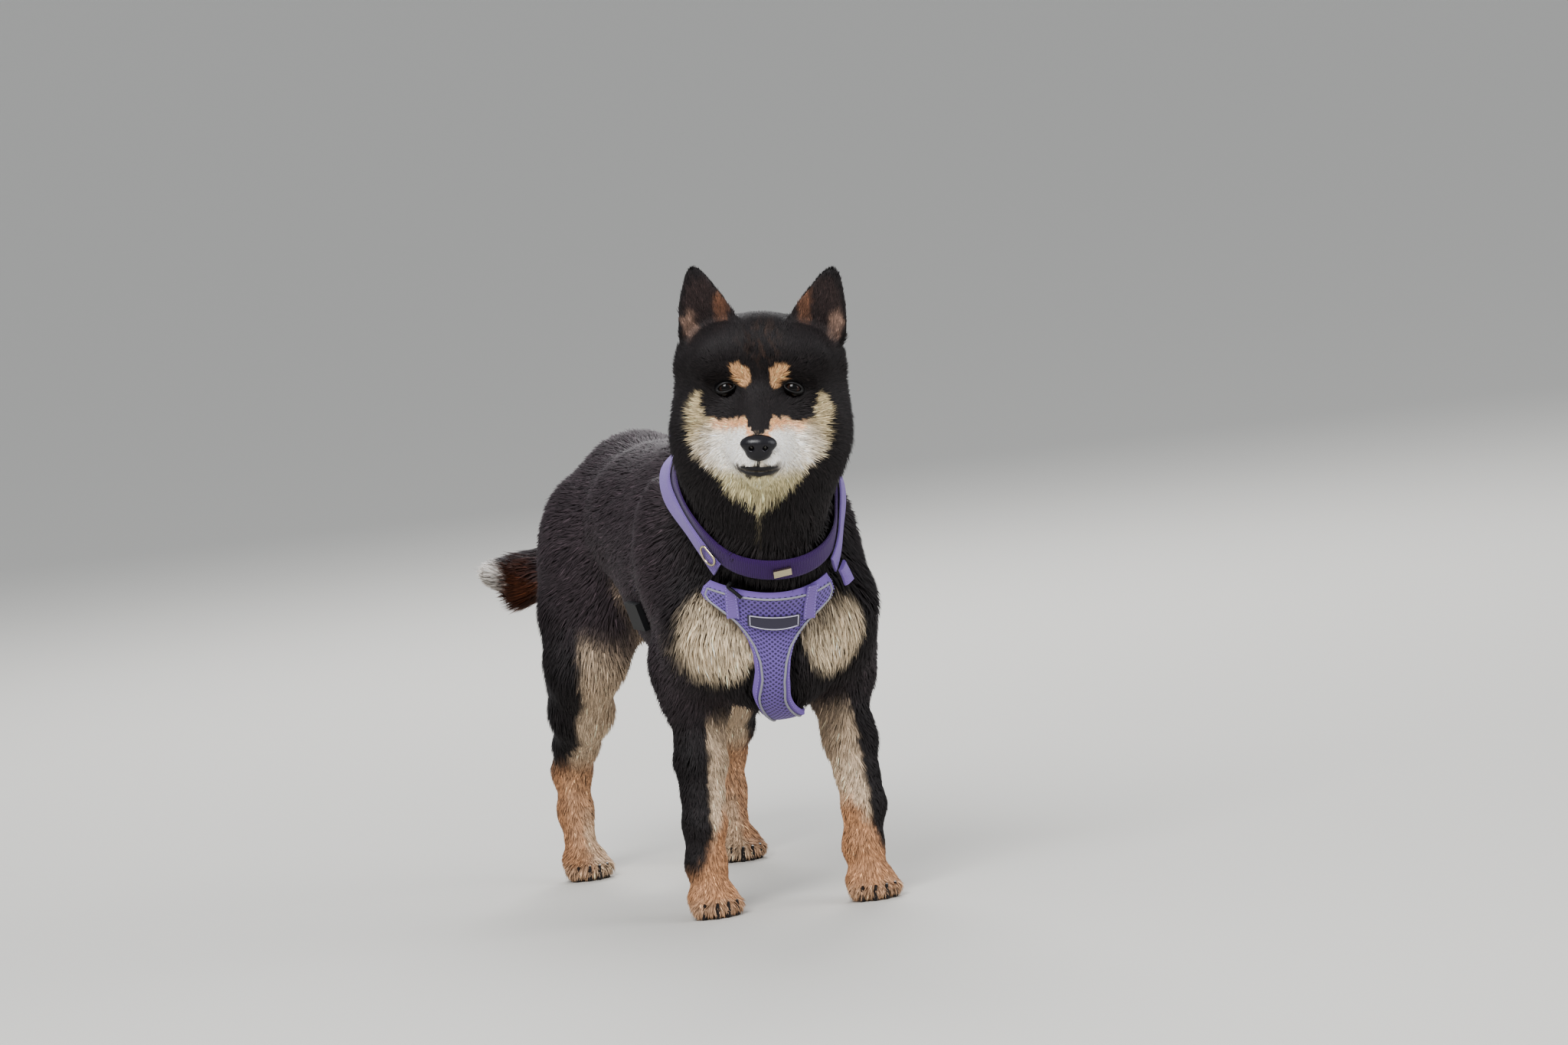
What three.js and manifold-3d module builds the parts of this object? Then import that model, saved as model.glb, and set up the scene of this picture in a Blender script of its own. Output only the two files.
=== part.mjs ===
// A life-size standing shiba inu in a walking harness and a collar, one still figure.
// Millimetres, +Z up, the paws on the floor at z = 0; the dog faces -Y and its right side is at -X.
// The animal is one field of distance, blended from its bones and muscles at the size of the coat's tips.
// Each node is the part of that field inside its own block of space, turned into a faceted solid.
import * as THREE from "three";
import { mergeVertices } from "three/addons/utils/BufferGeometryUtils.js";
import Module from "manifold-3d";

const wasm = await Module();
wasm.setup();

// Driving sizes
const GAP = 0.3; // between neighbouring solids
const CHEST_X = 3; // the chest's middle stands a little to the dog's left
const CHEST_WIDTH = 172;
const CHEST_BOTTOM = 168;
const WITHERS = 394;
const RUMP = 388;
const BUTTOCK_Y = 372;
const ELBOW_Z = 186; // plane between trunk and forelegs
const STIFLE_Z = 205; // plane between trunk and hind legs
const CARPUS_Z = 78;
const HOCK_Z = 98;
const EYE_SPACING = 54;
const EYE_RADIUS = 9.6;
const NOSE_WIDTH = 30;
const EAR_HEIGHT = 58;
const EAR_WIDTH = 54;
const EAR_THICKNESS = 6.5;
const HEAD_YAW = -19; // degrees, towards the dog's right
const HEAD_TILT = 6.8; // degrees, crown towards the dog's left
const HEAD_PITCH = 3; // degrees, nose up
const HEAD_AT = [-19, -160, 442]; // the point midway between the eyes
const WEB = 2.4; // webbing thickness
const COLLAR_WIDTH = 20;
const STRAP_WIDTH = 19;
const PLATE_THICKNESS = 4.5;

// Where each paw stands, the joint above it and the joint above that
const LEGS = {
  foreleg_right: { paw: [-62, -4], carpus: [-59, 4], elbow: [-49, 16] },
  foreleg_left: { paw: [63, -46], carpus: [68, -36], elbow: [69, 0] },
  hindleg_right: { paw: [-61, 362], hock: [-57, 384], stifle: [-63, 276] },
  hindleg_left: { paw: [69, 330], hock: [76, 354], stifle: [68, 262] },
};

// Fields of distance: each one is a function of x, y and z, negative inside

function ball(centre, half, turn = [0, 0, 0]) {
  const m = new THREE.Matrix4().makeRotationFromEuler(
    new THREE.Euler(...turn.map(THREE.MathUtils.degToRad), "XYZ"),
  ).transpose().elements;
  const [cx, cy, cz] = centre;
  const [a, b, c] = half;
  return (px, py, pz) => {
    const x = px - cx;
    const y = py - cy;
    const z = pz - cz;
    const u = m[0] * x + m[4] * y + m[8] * z;
    const v = m[1] * x + m[5] * y + m[9] * z;
    const w = m[2] * x + m[6] * y + m[10] * z;
    const k0 = Math.hypot(u / a, v / b, w / c);
    const k1 = Math.hypot(u / (a * a), v / (b * b), w / (c * c));
    return k1 < 1e-9 ? -Math.min(a, b, c) : (k0 * (k0 - 1)) / k1;
  };
}

// A bone: a cone with round ends, from one joint to the next
function bone(from, to, r1, r2) {
  const [ax, ay, az] = from;
  const bx = to[0] - ax;
  const by = to[1] - ay;
  const bz = to[2] - az;
  const l2 = bx * bx + by * by + bz * bz;
  const rr = r1 - r2;
  const a2 = l2 - rr * rr;
  return (x, y, z) => {
    const px = x - ax;
    const py = y - ay;
    const pz = z - az;
    const s = px * bx + py * by + pz * bz;
    const t = s - l2;
    const qx = px * l2 - bx * s;
    const qy = py * l2 - by * s;
    const qz = pz * l2 - bz * s;
    const x2 = qx * qx + qy * qy + qz * qz;
    const y2 = s * s * l2;
    const z2 = t * t * l2;
    const k = Math.sign(rr) * rr * rr * x2;
    if (Math.sign(t) * a2 * z2 > k) return Math.sqrt(x2 + z2) / l2 - r2;
    if (Math.sign(s) * a2 * y2 < k) return Math.sqrt(x2 + y2) / l2 - r1;
    return (Math.sqrt((x2 * a2) / l2) + s * rr) / l2 - r1;
  };
}

// A chain of bones through a list of [x, y, z, radius]
function chain(k, points) {
  const bones = points
    .slice(1)
    .map((p, i) => bone(points[i].slice(0, 3), p.slice(0, 3), points[i][3], p[3]));
  return blend(k, ...bones);
}

function soft(a, b, k) {
  const h = Math.max(k - Math.abs(a - b), 0) / k;
  return Math.min(a, b) - h * h * k * 0.25;
}

// A smooth union of fields, with fillets about k wide
function blend(k, ...fields) {
  return (x, y, z) => fields.reduce((d, f) => soft(d, f(x, y, z), k), 1e3);
}

function carve(k, field, hollow) {
  return (x, y, z) => -soft(-field(x, y, z), hollow(x, y, z), k);
}

function both(field) {
  return (x, y, z) => field(Math.abs(x), y, z);
}

// The same field moved by a matrix
function placed(matrix, field) {
  const m = matrix.clone().invert().elements;
  return (x, y, z) =>
    field(
      m[0] * x + m[4] * y + m[8] * z + m[12],
      m[1] * x + m[5] * y + m[9] * z + m[13],
      m[2] * x + m[6] * y + m[10] * z + m[14],
    );
}

function grown(field, by) {
  return (x, y, z) => field(x, y, z) - by;
}

function slope(field, p) {
  const e = 0.5;
  return new THREE.Vector3(
    field(p.x + e, p.y, p.z) - field(p.x - e, p.y, p.z),
    field(p.x, p.y + e, p.z) - field(p.x, p.y - e, p.z),
    field(p.x, p.y, p.z + e) - field(p.x, p.y, p.z - e),
  ).normalize();
}

// Slides a point along the field's slope until it lies at a level of it
function onto(field, p, level = 0, most = 1e3) {
  const q = p.clone();
  for (let i = 0; i < 6; i++) {
    const step = THREE.MathUtils.clamp(field(q.x, q.y, q.z) - level, -most, most);
    q.addScaledVector(slope(field, q), -step);
  }
  return q;
}

// The animal

const [cx, half] = [CHEST_X, CHEST_WIDTH / 2];
const trunkField = blend(
  26,
  ball([cx, 75, WITHERS - 108], [half - 5, 145, 108]),
  ball([cx, 190, RUMP - 74], [half - 13, 120, 70]),
  ball([cx + 4, BUTTOCK_Y - 84, RUMP - 88], [half - 18, 84, 88]),
  ball([cx, -42, 245], [64, 56, 80], [-8, 0, 0]),
  ball([cx, -22, 345], [56, 66, 50], [-25, 0, 0]),
  ball([cx - 50, 2, 276], [37, 52, 90], [-14, -6, 0]),
  ball([cx + 56, -14, 278], [38, 52, 90], [-14, 4, 0]),
  bone([cx - 53, -42, 244], [-50, 14, 196], 35, 30),
  bone([cx + 54, -52, 248], [69, -2, 196], 35, 34),
  ball([cx - 50, 300, 262], [40, 68, 88], [12, -4, 0]),
  ball([cx + 52, 292, 262], [42, 70, 88], [12, 4, 0]),
);

const neckField = blend(
  24,
  bone([-6, -112, 410], [cx, -28, 325], 64, 62),
  bone([-14, -128, 372], [cx - 2, -66, 285], 52, 50),
  ball([-9, -116, 398], [72, 52, 62], [0, -6.8, -16]),
);

const headFrame = new THREE.Matrix4()
  .makeTranslation(...HEAD_AT)
  .multiply(new THREE.Matrix4().makeRotationZ(THREE.MathUtils.degToRad(HEAD_YAW)))
  .multiply(new THREE.Matrix4().makeRotationY(THREE.MathUtils.degToRad(HEAD_TILT)))
  .multiply(new THREE.Matrix4().makeRotationX(THREE.MathUtils.degToRad(-HEAD_PITCH)));

const eyeAt = [EYE_SPACING / 2, -6.5, 0.7];
const noseAt = [0, -64, -46];
const faceField = carve(
  7,
  blend(
    13,
    ball([0, 40, 8], [65, 60, 55]),
    ball([0, 66, -8], [72, 46, 62]),
    bone([0, 14, -58], [0, 26, -90], 36, 13),
    both(ball([24, 4, 22], [34, 30, 26])),
    both(ball([37, 36, 20], [33, 32, 36])),
    both(ball([40, 26, -32], [29, 40, 36])),
    both(ball([28, 4, -1], [17, 15, 14])),
    ball([0, 14, 28], [46, 34, 30]),
    bone([0, -2, -30], [0, -44, -49], 29, 16.5),
    bone([0, -2, -8], [0, -54, -41], 17, 10.5),
    both(bone([11, -20, -48], [8, -50, -55], 17, 11)),
    bone([0, 0, -60], [0, -44, -68], 23, 9.5),
    both(ball([32, 18, -52], [26, 34, 26])),
    ball([0, 24, -74], [38, 36, 28]),
  ),
  both(ball([27, -24, -1.5], [13, 12, 8.5])),
);
const noseField = blend(
  4,
  ball([noseAt[0], noseAt[1], noseAt[2] + 3], [NOSE_WIDTH / 2, 8.5, 7.5]),
  ball([noseAt[0], noseAt[1] + 1, noseAt[2] - 4], [10.5, 7.5, 7]),
);

// One ear: a cupped shell with a three-sided outline; u runs outwards and w up to the tip
function earShape(u, v, w) {
  const edges = [
    u - EAR_WIDTH * 0.44,
    (u - EAR_WIDTH * 0.44) * 0.9 + (w - 38) * 0.44,
    -(u + 28) * 0.755 + (w - 13) * 0.656,
    -w - 12,
  ];
  const outline = edges.reduce((a, b) => -soft(-a, -b, 12), w - EAR_HEIGHT - 5);
  const cup = 15 * Math.pow(u / (EAR_WIDTH / 2), 2) * (1 - 0.55 * Math.min(1, Math.max(0, w / EAR_HEIGHT)));
  const thick = EAR_THICKNESS / 2 + Math.max(0, 6 - w) * 0.12;
  const shell = Math.abs(v + cup) * 0.86 - thick;
  return -soft(-outline, -shell, 5);
}
function earFrame(side) {
  return headFrame
    .clone()
    .multiply(new THREE.Matrix4().makeTranslation(side * 43 + 2, 20, 45))
    .multiply(new THREE.Matrix4().makeRotationZ(THREE.MathUtils.degToRad(side * 14)))
    .multiply(new THREE.Matrix4().makeRotationX(THREE.MathUtils.degToRad(8)))
    .multiply(new THREE.Matrix4().makeScale(side, 1, 1));
}

const tailField = chain(16, [
  [cx, 340, 334, 22],
  [cx - 8, 376, 300, 24],
  [-38, 390, 270, 24],
  [-74, 386, 265, 21],
  [-104, 374, 273, 11],
  [-117, 366, 278, 3.5],
]);

// A paw: four toes in front of a pad, heading for -Y
function pawField([x, y], width) {
  const toes = [-1.5, -0.5, 0.5, 1.5].map((n) => {
    const out = n * width * 0.25;
    const ahead = Math.abs(n) < 1 ? -17 : -11;
    return bone([x + out * 0.8, y + 2, 17], [x + out, y + ahead, 9], 9, 8.2);
  });
  return blend(5, ...toes, ball([x, y + 4, 10], [width * 0.46, 17, 11]));
}

// Where each claw starts, in front of its toe
const claws = {};
for (const [name, leg] of Object.entries(LEGS))
  [-1.5, -0.5, 0.5, 1.5].forEach((n, i) => {
    const x = leg.paw[0] + n * (leg.hock ? 35 : 38) * 0.25;
    const y = leg.paw[1] - (Math.abs(n) < 1 ? 20 : 14);
    claws[`claw_${name}_${i + 1}`] = [x, y, 9];
  });

function foreleg({ paw, carpus, elbow }) {
  const [px, py] = paw;
  return blend(
    9,
    chain(8, [
      [elbow[0], elbow[1] + 4, 214, 35],
      [elbow[0], elbow[1], ELBOW_Z - 8, 26],
      [(elbow[0] + carpus[0]) / 2, (elbow[1] + carpus[1]) / 2, 132, 21.5],
      [...carpus, CARPUS_Z, 17.5],
      [px, (py + carpus[1]) / 2 + 4, 44, 16.2],
      [px, py + 2, 20, 15.5],
    ]),
    pawField(paw, 38),
  );
}
function hindleg({ paw, hock, stifle }) {
  const [px, py] = paw;
  const [hx, hy] = hock;
  return blend(
    10,
    chain(12, [
      [stifle[0] * 0.89, stifle[1] + 22, 236, 38],
      [stifle[0], stifle[1] + 10, 196, 33],
      [(stifle[0] + hx) / 2, stifle[1] + 46, 152, 27],
      [hx, hy - 22, 118, 18],
      [hx, hy, HOCK_Z - 4, 15.5],
      [(px + hx) / 2, hy - 3, 58, 13.5],
      [px, py + 8, 24, 14],
    ]),
    ball([(stifle[0] + hx) / 2, stifle[1] + 62, 178], [22, 34, 44], [30, 0, 0]),
    bone([hx, hy + 3, HOCK_Z + 4], [(stifle[0] + hx) / 2, stifle[1] + 84, 160], 9, 14),
    pawField(paw, 35),
  );
}
const legFields = {
  foreleg_right: foreleg(LEGS.foreleg_right),
  foreleg_left: foreleg(LEGS.foreleg_left),
  hindleg_right: hindleg(LEGS.hindleg_right),
  hindleg_left: hindleg(LEGS.hindleg_left),
};
const standing = blend(16, trunkField, ...Object.values(legFields));
const torso = blend(22, standing, neckField);
const bodyField = blend(14, torso, tailField);
const headField = placed(headFrame, faceField);
const headed = blend(16, bodyField, headField);

// Turning fields into faceted solids

function solid(positions, triangles) {
  return new wasm.Manifold(
    new wasm.Mesh({
      numProp: 3,
      vertProperties: new Float32Array(positions),
      triVerts: new Uint32Array(triangles),
    }),
  );
}

// Where four samples around a square are inside and outside by turns, one more is taken as inside
function fillCrossings(value, n, at) {
  for (let again = true; again; ) {
    again = false;
    for (let k = 1; k < n[2] - 1; k++)
      for (let j = 1; j < n[1] - 1; j++)
        for (let i = 1; i < n[0] - 1; i++)
          for (const [u, v] of [[[1, 0, 0], [0, 1, 0]], [[1, 0, 0], [0, 0, 1]], [[0, 1, 0], [0, 0, 1]]]) {
            const a = at(i, j, k);
            const b = at(i + u[0], j + u[1], k + u[2]);
            const c = at(i + v[0], j + v[1], k + v[2]);
            const d = at(i + u[0] + v[0], j + u[1] + v[1], k + u[2] + v[2]);
            const [ia, ib, ic, id] = [a, b, c, d].map((m) => value[m] < 0);
            if (ia !== id || ib !== ic || ia === ib) continue;
            const [p, q] = ia ? [b, c] : [a, d];
            value[value[p] < value[q] ? p : q] = -0.05;
            again = true;
          }
  }
}

// A net of quads over the field's zero level, its corners slid onto the level
function net(field, low, high, cell) {
  const n = [0, 1, 2].map((i) => Math.ceil((high[i] - low[i]) / cell) + 1);
  const at = (i, j, k) => (k * n[1] + j) * n[0] + i;
  const rim = (i, j, k) => [i, j, k].some((v, c) => v === 0 || v === n[c] - 1);
  const value = new Float32Array(n[0] * n[1] * n[2]);
  for (let k = 0; k < n[2]; k++)
    for (let j = 0; j < n[1]; j++)
      for (let i = 0; i < n[0]; i++)
        value[at(i, j, k)] = rim(i, j, k)
          ? cell
          : field(low[0] + i * cell, low[1] + j * cell, low[2] + k * cell);
  fillCrossings(value, n, at);
  const corner = new Map();
  const positions = [];
  const triangles = [];
  for (let k = 0; k < n[2] - 1; k++)
    for (let j = 0; j < n[1] - 1; j++)
      for (let i = 0; i < n[0] - 1; i++) {
        const sum = new THREE.Vector3();
        let count = 0;
        for (let a = 0; a < 8; a++)
          for (const bit of [1, 2, 4]) {
            if (a & bit) continue;
            const b = a | bit;
            const p = [i + (a & 1), j + ((a >> 1) & 1), k + (a >> 2)];
            const q = [i + (b & 1), j + ((b >> 1) & 1), k + (b >> 2)];
            const va = value[at(...p)];
            const vb = value[at(...q)];
            if (va < 0 === vb < 0) continue;
            const t = va / (va - vb);
            sum.x += p[0] + t * (q[0] - p[0]);
            sum.y += p[1] + t * (q[1] - p[1]);
            sum.z += p[2] + t * (q[2] - p[2]);
            count++;
          }
        if (!count) continue;
        sum.multiplyScalar(cell / count).add(new THREE.Vector3(...low));
        const closing = rim(i, j, k) || rim(i + 1, j + 1, k + 1);
        const point = closing ? sum : onto(field, sum, 0, cell * 0.3);
        corner.set(at(i, j, k), positions.length / 3);
        positions.push(point.x, point.y, point.z);
      }
  const dist = (a, b) =>
    Math.hypot(...[0, 1, 2].map((c) => positions[3 * a + c] - positions[3 * b + c]));
  const quad = (a, b, c, d, flip) => {
    const [p, q, r, s] = flip ? [d, c, b, a] : [a, b, c, d];
    if (dist(p, r) < dist(q, s)) triangles.push(p, q, r, p, r, s);
    else triangles.push(p, q, s, q, r, s);
  };
  for (let k = 0; k < n[2] - 1; k++)
    for (let j = 0; j < n[1] - 1; j++)
      for (let i = 0; i < n[0] - 1; i++) {
        const inside = value[at(i, j, k)] < 0;
        const cellAt = (x, y, z) => corner.get(at(i + x, j + y, k + z));
        if (j && k && inside !== value[at(i + 1, j, k)] < 0)
          quad(cellAt(0, -1, -1), cellAt(0, 0, -1), cellAt(0, 0, 0), cellAt(0, -1, 0), !inside);
        if (i && k && inside !== value[at(i, j + 1, k)] < 0)
          quad(cellAt(-1, 0, -1), cellAt(-1, 0, 0), cellAt(0, 0, 0), cellAt(0, 0, -1), !inside);
        if (i && j && inside !== value[at(i, j, k + 1)] < 0)
          quad(cellAt(-1, -1, 0), cellAt(0, -1, 0), cellAt(0, 0, 0), cellAt(-1, 0, 0), !inside);
      }
  return solid(positions, triangles);
}

function solidOf(geometry) {
  const bare = new THREE.BufferGeometry();
  bare.setAttribute("position", geometry.toNonIndexed().getAttribute("position"));
  const merged = mergeVertices(bare, 1e-3);
  return solid(merged.attributes.position.array, merged.index.array);
}

// A block of space given by its lowest and highest corner, grown by a margin
function block(low, high, margin = 0) {
  const size = low.map((v, i) => high[i] - v + 2 * margin);
  const middle = low.map((v, i) => (high[i] + v) / 2);
  return solidOf(new THREE.BoxGeometry(...size).translate(...middle));
}

// A block on the far side of a plane, the plane given by a point and the direction it faces
function beyond(point, facing, margin = 0) {
  const turn = new THREE.Quaternion().setFromUnitVectors(
    new THREE.Vector3(0, 0, 1),
    new THREE.Vector3(...facing).normalize(),
  );
  const size = 700;
  return solidOf(
    new THREE.BoxGeometry(size, size, size)
      .translate(0, 0, size / 2 - margin)
      .applyQuaternion(turn)
      .translate(...point),
  );
}

function largest(shape) {
  return shape.decompose().reduce((a, b) => (a.volume() > b.volume() ? a : b));
}

const group = new THREE.Group();
group.name = "shiba_inu";

function add(name, shape, colour) {
  const { vertProperties, triVerts, numProp } = largest(shape).getMesh();
  const positions = new Float32Array((vertProperties.length / numProp) * 3);
  for (let i = 0; i < positions.length / 3; i++)
    for (let c = 0; c < 3; c++) positions[3 * i + c] = vertProperties[numProp * i + c];
  const geometry = new THREE.BufferGeometry();
  geometry.setAttribute("position", new THREE.BufferAttribute(positions, 3));
  geometry.setIndex(new THREE.BufferAttribute(new Uint32Array(triVerts), 1));
  geometry.computeVertexNormals();
  const mesh = new THREE.Mesh(
    geometry,
    new THREE.MeshStandardMaterial({ color: colour, roughness: 0.8 }),
  );
  mesh.name = name;
  group.add(mesh);
}

const BLACK = 0x241f22;
const TAN = 0xc08a62;
const LAVENDER = 0x8a7cc0;
const PURPLE = 0x3c2468;

// The blocks of space the legs, the neck, the head and the tail have to themselves
const FLOOR = -1;
const legBlock = {
  foreleg_right: [[-150, -110, FLOOR], [-24, 130, ELBOW_Z]],
  foreleg_left: [[30, -130, FLOOR], [150, 110, ELBOW_Z]],
  hindleg_right: [[-150, 160, FLOOR], [-12, 460, STIFLE_Z]],
  hindleg_left: [[18, 160, FLOOR], [150, 460, STIFLE_Z]],
};
const NECK_PLANE = [[0, -40, 338], [0, -0.674, 0.739]];
const HEAD_PLANE = [[-9, -112, 384], [-0.18, -0.72, 0.64]];
const TAIL_PLANE = [[0, 364, 312], [-0.12, 0.86, -0.42]];

const floor = block([-300, -300, 0], [300, 600, 700]);

// What the dog wears lies on the levels of this field, clear of the body and of the other bands.
// The girth strap is bedded in the coat, in channels cut for it and its buckles.
const worn = blend(22, trunkField, neckField, ...Object.values(legFields));
const LEVEL = { plate: 2.6, collar: 2.2, strap: 5.8, girth: -4, pad: 3.4 };
const girthPath = {
  girth_strap_right: [[-20, 58, 400], [-64, 62, 360], [-88, 70, 290], [-74, 77, 215], [-12, 84, 172]],
  girth_strap_left: [[26, 58, 400], [70, 62, 360], [94, 70, 290], [80, 77, 215], [18, 84, 172]],
};
const BUCKLE = [24, 32, 5];
const buckles = { buckle_right: [-88, 74, 246], buckle_left: [94, 74, 246] };
const overGirth = LEVEL.girth + WEB;
// A path with its first and last stretch drawn out a little
function drawnOut(path) {
  const past = (a, b) => b.map((v, i) => v + (v - a[i]) * 0.08);
  return [past(path[1], path[0]), ...path.slice(1, -1), past(path.at(-2), path.at(-1))];
}
const channels = Object.values(girthPath).map((path) =>
  band(drawnOut(path), STRAP_WIDTH + 4, LEVEL.girth - 1.4, { steps: 24, thick: 18 }),
);
for (const at of Object.values(buckles))
  channels.push(fitting(new THREE.BoxGeometry(BUCKLE[0] + 2, BUCKLE[1] + 2, BUCKLE[2] + 12), at, overGirth + 8.2));
function withChannels(shape) {
  return channels.reduce((rest, channel) => rest.subtract(channel), shape);
}

const tailSpace = beyond(...TAIL_PLANE).intersect(block([-200, 330, 215], [60, 460, 350]));
const tailHole = beyond(...TAIL_PLANE, GAP).intersect(block([-200, 330, 215], [60, 460, 350], GAP));

let trunk = net(torso, [-130, -135, 140], [135, 420, 420], 21);
trunk = trunk.subtract(beyond(...NECK_PLANE, GAP)).subtract(tailHole);
for (const [low, high] of Object.values(legBlock)) trunk = trunk.subtract(block(low, high, GAP));
add("trunk", withChannels(trunk), BLACK);

const neck = net(headed, [-110, -200, 250], [105, 50, 480], 16)
  .intersect(beyond(...NECK_PLANE))
  .subtract(beyond(...HEAD_PLANE, GAP));
add("neck", neck, BLACK);

// A claw: a tapered peg that leans forwards and down
function clawSolid(at, margin) {
  return solidOf(
    new THREE.CylinderGeometry(1.1 + margin, 3 + margin, 13 + 2 * margin, 7)
      .rotateX(THREE.MathUtils.degToRad(112))
      .translate(at[0], at[1] - 4, at[2] - 1.5),
  );
}

for (const name of Object.keys(LEGS)) {
  const [low, high] = legBlock[name];
  const cell = name.startsWith("fore") ? 11 : 12;
  const start = [low[0] - 9.1, low[1] - 9.3, -12];
  const shape = net(standing, start, [high[0] + 12, high[1] + 12, high[2] + 14], cell);
  let leg = shape.intersect(block(low, high)).intersect(floor);
  for (const [claw, at] of Object.entries(claws))
    if (claw.includes(name)) leg = leg.subtract(clawSolid(at, GAP));
  add(name, name.startsWith("fore") ? withChannels(leg) : leg, TAN);
}
for (const [name, at] of Object.entries(claws)) add(name, clawSolid(at, 0), 0x1b181a);

const tail = net(bodyField, [-150, 300, 200], [70, 450, 372], 13).intersect(tailSpace);
add("tail", tail, BLACK);

const eyes = [-1, 1].map((side) => {
  const at = new THREE.Vector3(side * eyeAt[0], eyeAt[1], eyeAt[2]).applyMatrix4(headFrame);
  const sphere = (r) => solidOf(new THREE.SphereGeometry(r, 14, 9).translate(at.x, at.y, at.z));
  return { ball: sphere(EYE_RADIUS), hole: sphere(EYE_RADIUS + GAP) };
});
const noseLow = new THREE.Vector3(...noseAt).applyMatrix4(headFrame);
const noseRoom = [
  noseLow.toArray().map((v) => v - 24),
  noseLow.toArray().map((v) => v + 24),
];
const headShape = net(headed, [-120, -260, 300], [100, -20, 540], 9)
  .intersect(beyond(...HEAD_PLANE))
  .subtract(eyes[0].hole)
  .subtract(eyes[1].hole)
  .subtract(net(grown(placed(headFrame, noseField), 1), ...noseRoom, 4.6));
add("head", headShape, BLACK);
add("eye_right", eyes[0].ball, 0x20120c);
add("eye_left", eyes[1].ball, 0x20120c);
add("nose", net(placed(headFrame, noseField), ...noseRoom, 4.6), 0x151214);

const skullRoom = net(grown(headed, 0.6), [-120, -200, 420], [110, -40, 545], 7);
for (const [name, side] of [["ear_right", -1], ["ear_left", 1]]) {
  const frame = earFrame(side);
  const middle = new THREE.Vector3(0, 0, 20).applyMatrix4(frame);
  const low = middle.toArray().map((v) => v - 50);
  const high = middle.toArray().map((v) => v + 50);
  add(name, net(placed(frame, earShape), low, high, 4.8).subtract(skullRoom), BLACK);
}


// A closed solid from a grid of inner points and a grid of outer points
function slabOf(inner, outer) {
  const rows = inner.length;
  const columns = inner[0].length;
  const positions = [];
  const triangles = [];
  for (const grid of [inner, outer]) for (const row of grid) for (const p of row) positions.push(...p.toArray());
  const at = (side, i, j) => (side * rows + i) * columns + j;
  const quad = (a, b, c, d) => triangles.push(a, b, c, a, c, d);
  for (let i = 0; i < rows - 1; i++)
    for (let j = 0; j < columns - 1; j++) {
      quad(at(1, i, j), at(1, i + 1, j), at(1, i + 1, j + 1), at(1, i, j + 1));
      quad(at(0, i, j), at(0, i, j + 1), at(0, i + 1, j + 1), at(0, i + 1, j));
    }
  for (let i = 0; i < rows - 1; i++) {
    quad(at(0, i, 0), at(0, i + 1, 0), at(1, i + 1, 0), at(1, i, 0));
    quad(at(0, i + 1, columns - 1), at(0, i, columns - 1), at(1, i, columns - 1), at(1, i + 1, columns - 1));
  }
  for (let j = 0; j < columns - 1; j++) {
    quad(at(0, 0, j + 1), at(0, 0, j), at(1, 0, j), at(1, 0, j + 1));
    quad(at(0, rows - 1, j), at(0, rows - 1, j + 1), at(1, rows - 1, j + 1), at(1, rows - 1, j));
  }
  const made = solid(positions, triangles);
  if (made.volume() > 0) return made;
  for (let i = 0; i < triangles.length; i += 3) triangles.splice(i, 2, triangles[i + 1], triangles[i]);
  return solid(positions, triangles);
}

// A flat band along a path of points near the body, laid at a level of the field
function band(path, width, level, { closed = false, steps = 40, thick = WEB, taper = 1 } = {}) {
  const curve = new THREE.CatmullRomCurve3(path.map((p) => onto(worn, new THREE.Vector3(...p), level)), closed);
  const inner = [];
  const outer = [];
  const count = closed ? steps : steps + 1;
  for (let i = 0; i < count; i++) {
    const t = i / steps;
    const p = onto(worn, curve.getPoint(t), level);
    const out = slope(worn, p);
    const along = curve.getTangent(t);
    const across = new THREE.Vector3().crossVectors(along, out).normalize();
    const half = (width / 2) * (1 + (taper - 1) * t);
    const rowIn = [];
    const rowOut = [];
    for (const c of [-1, 0, 1]) {
      const q = onto(worn, p.clone().addScaledVector(across, c * half), level);
      const n = slope(worn, q);
      rowIn.push(q);
      rowOut.push(q.clone().addScaledVector(n, thick));
    }
    inner.push(rowIn);
    outer.push(rowOut);
  }
  if (!closed) return slabOf(inner, outer);
  return ringOf(inner, outer);
}

function ringOf(inner, outer) {
  const rows = inner.length;
  const columns = inner[0].length;
  const positions = [];
  const triangles = [];
  for (const grid of [inner, outer]) for (const row of grid) for (const p of row) positions.push(...p.toArray());
  const at = (side, i, j) => (side * rows + (i % rows)) * columns + j;
  const quad = (a, b, c, d) => triangles.push(a, b, c, a, c, d);
  for (let i = 0; i < rows; i++) {
    for (let j = 0; j < columns - 1; j++) {
      quad(at(1, i, j), at(1, i + 1, j), at(1, i + 1, j + 1), at(1, i, j + 1));
      quad(at(0, i, j), at(0, i, j + 1), at(0, i + 1, j + 1), at(0, i + 1, j));
    }
    quad(at(0, i, 0), at(0, i + 1, 0), at(1, i + 1, 0), at(1, i, 0));
    quad(at(0, i + 1, columns - 1), at(0, i, columns - 1), at(1, i, columns - 1), at(1, i + 1, columns - 1));
  }
  const made = solid(positions, triangles);
  if (made.volume() > 0) return made;
  for (let i = 0; i < triangles.length; i += 3) triangles.splice(i, 2, triangles[i + 1], triangles[i]);
  return solid(positions, triangles);
}

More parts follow.
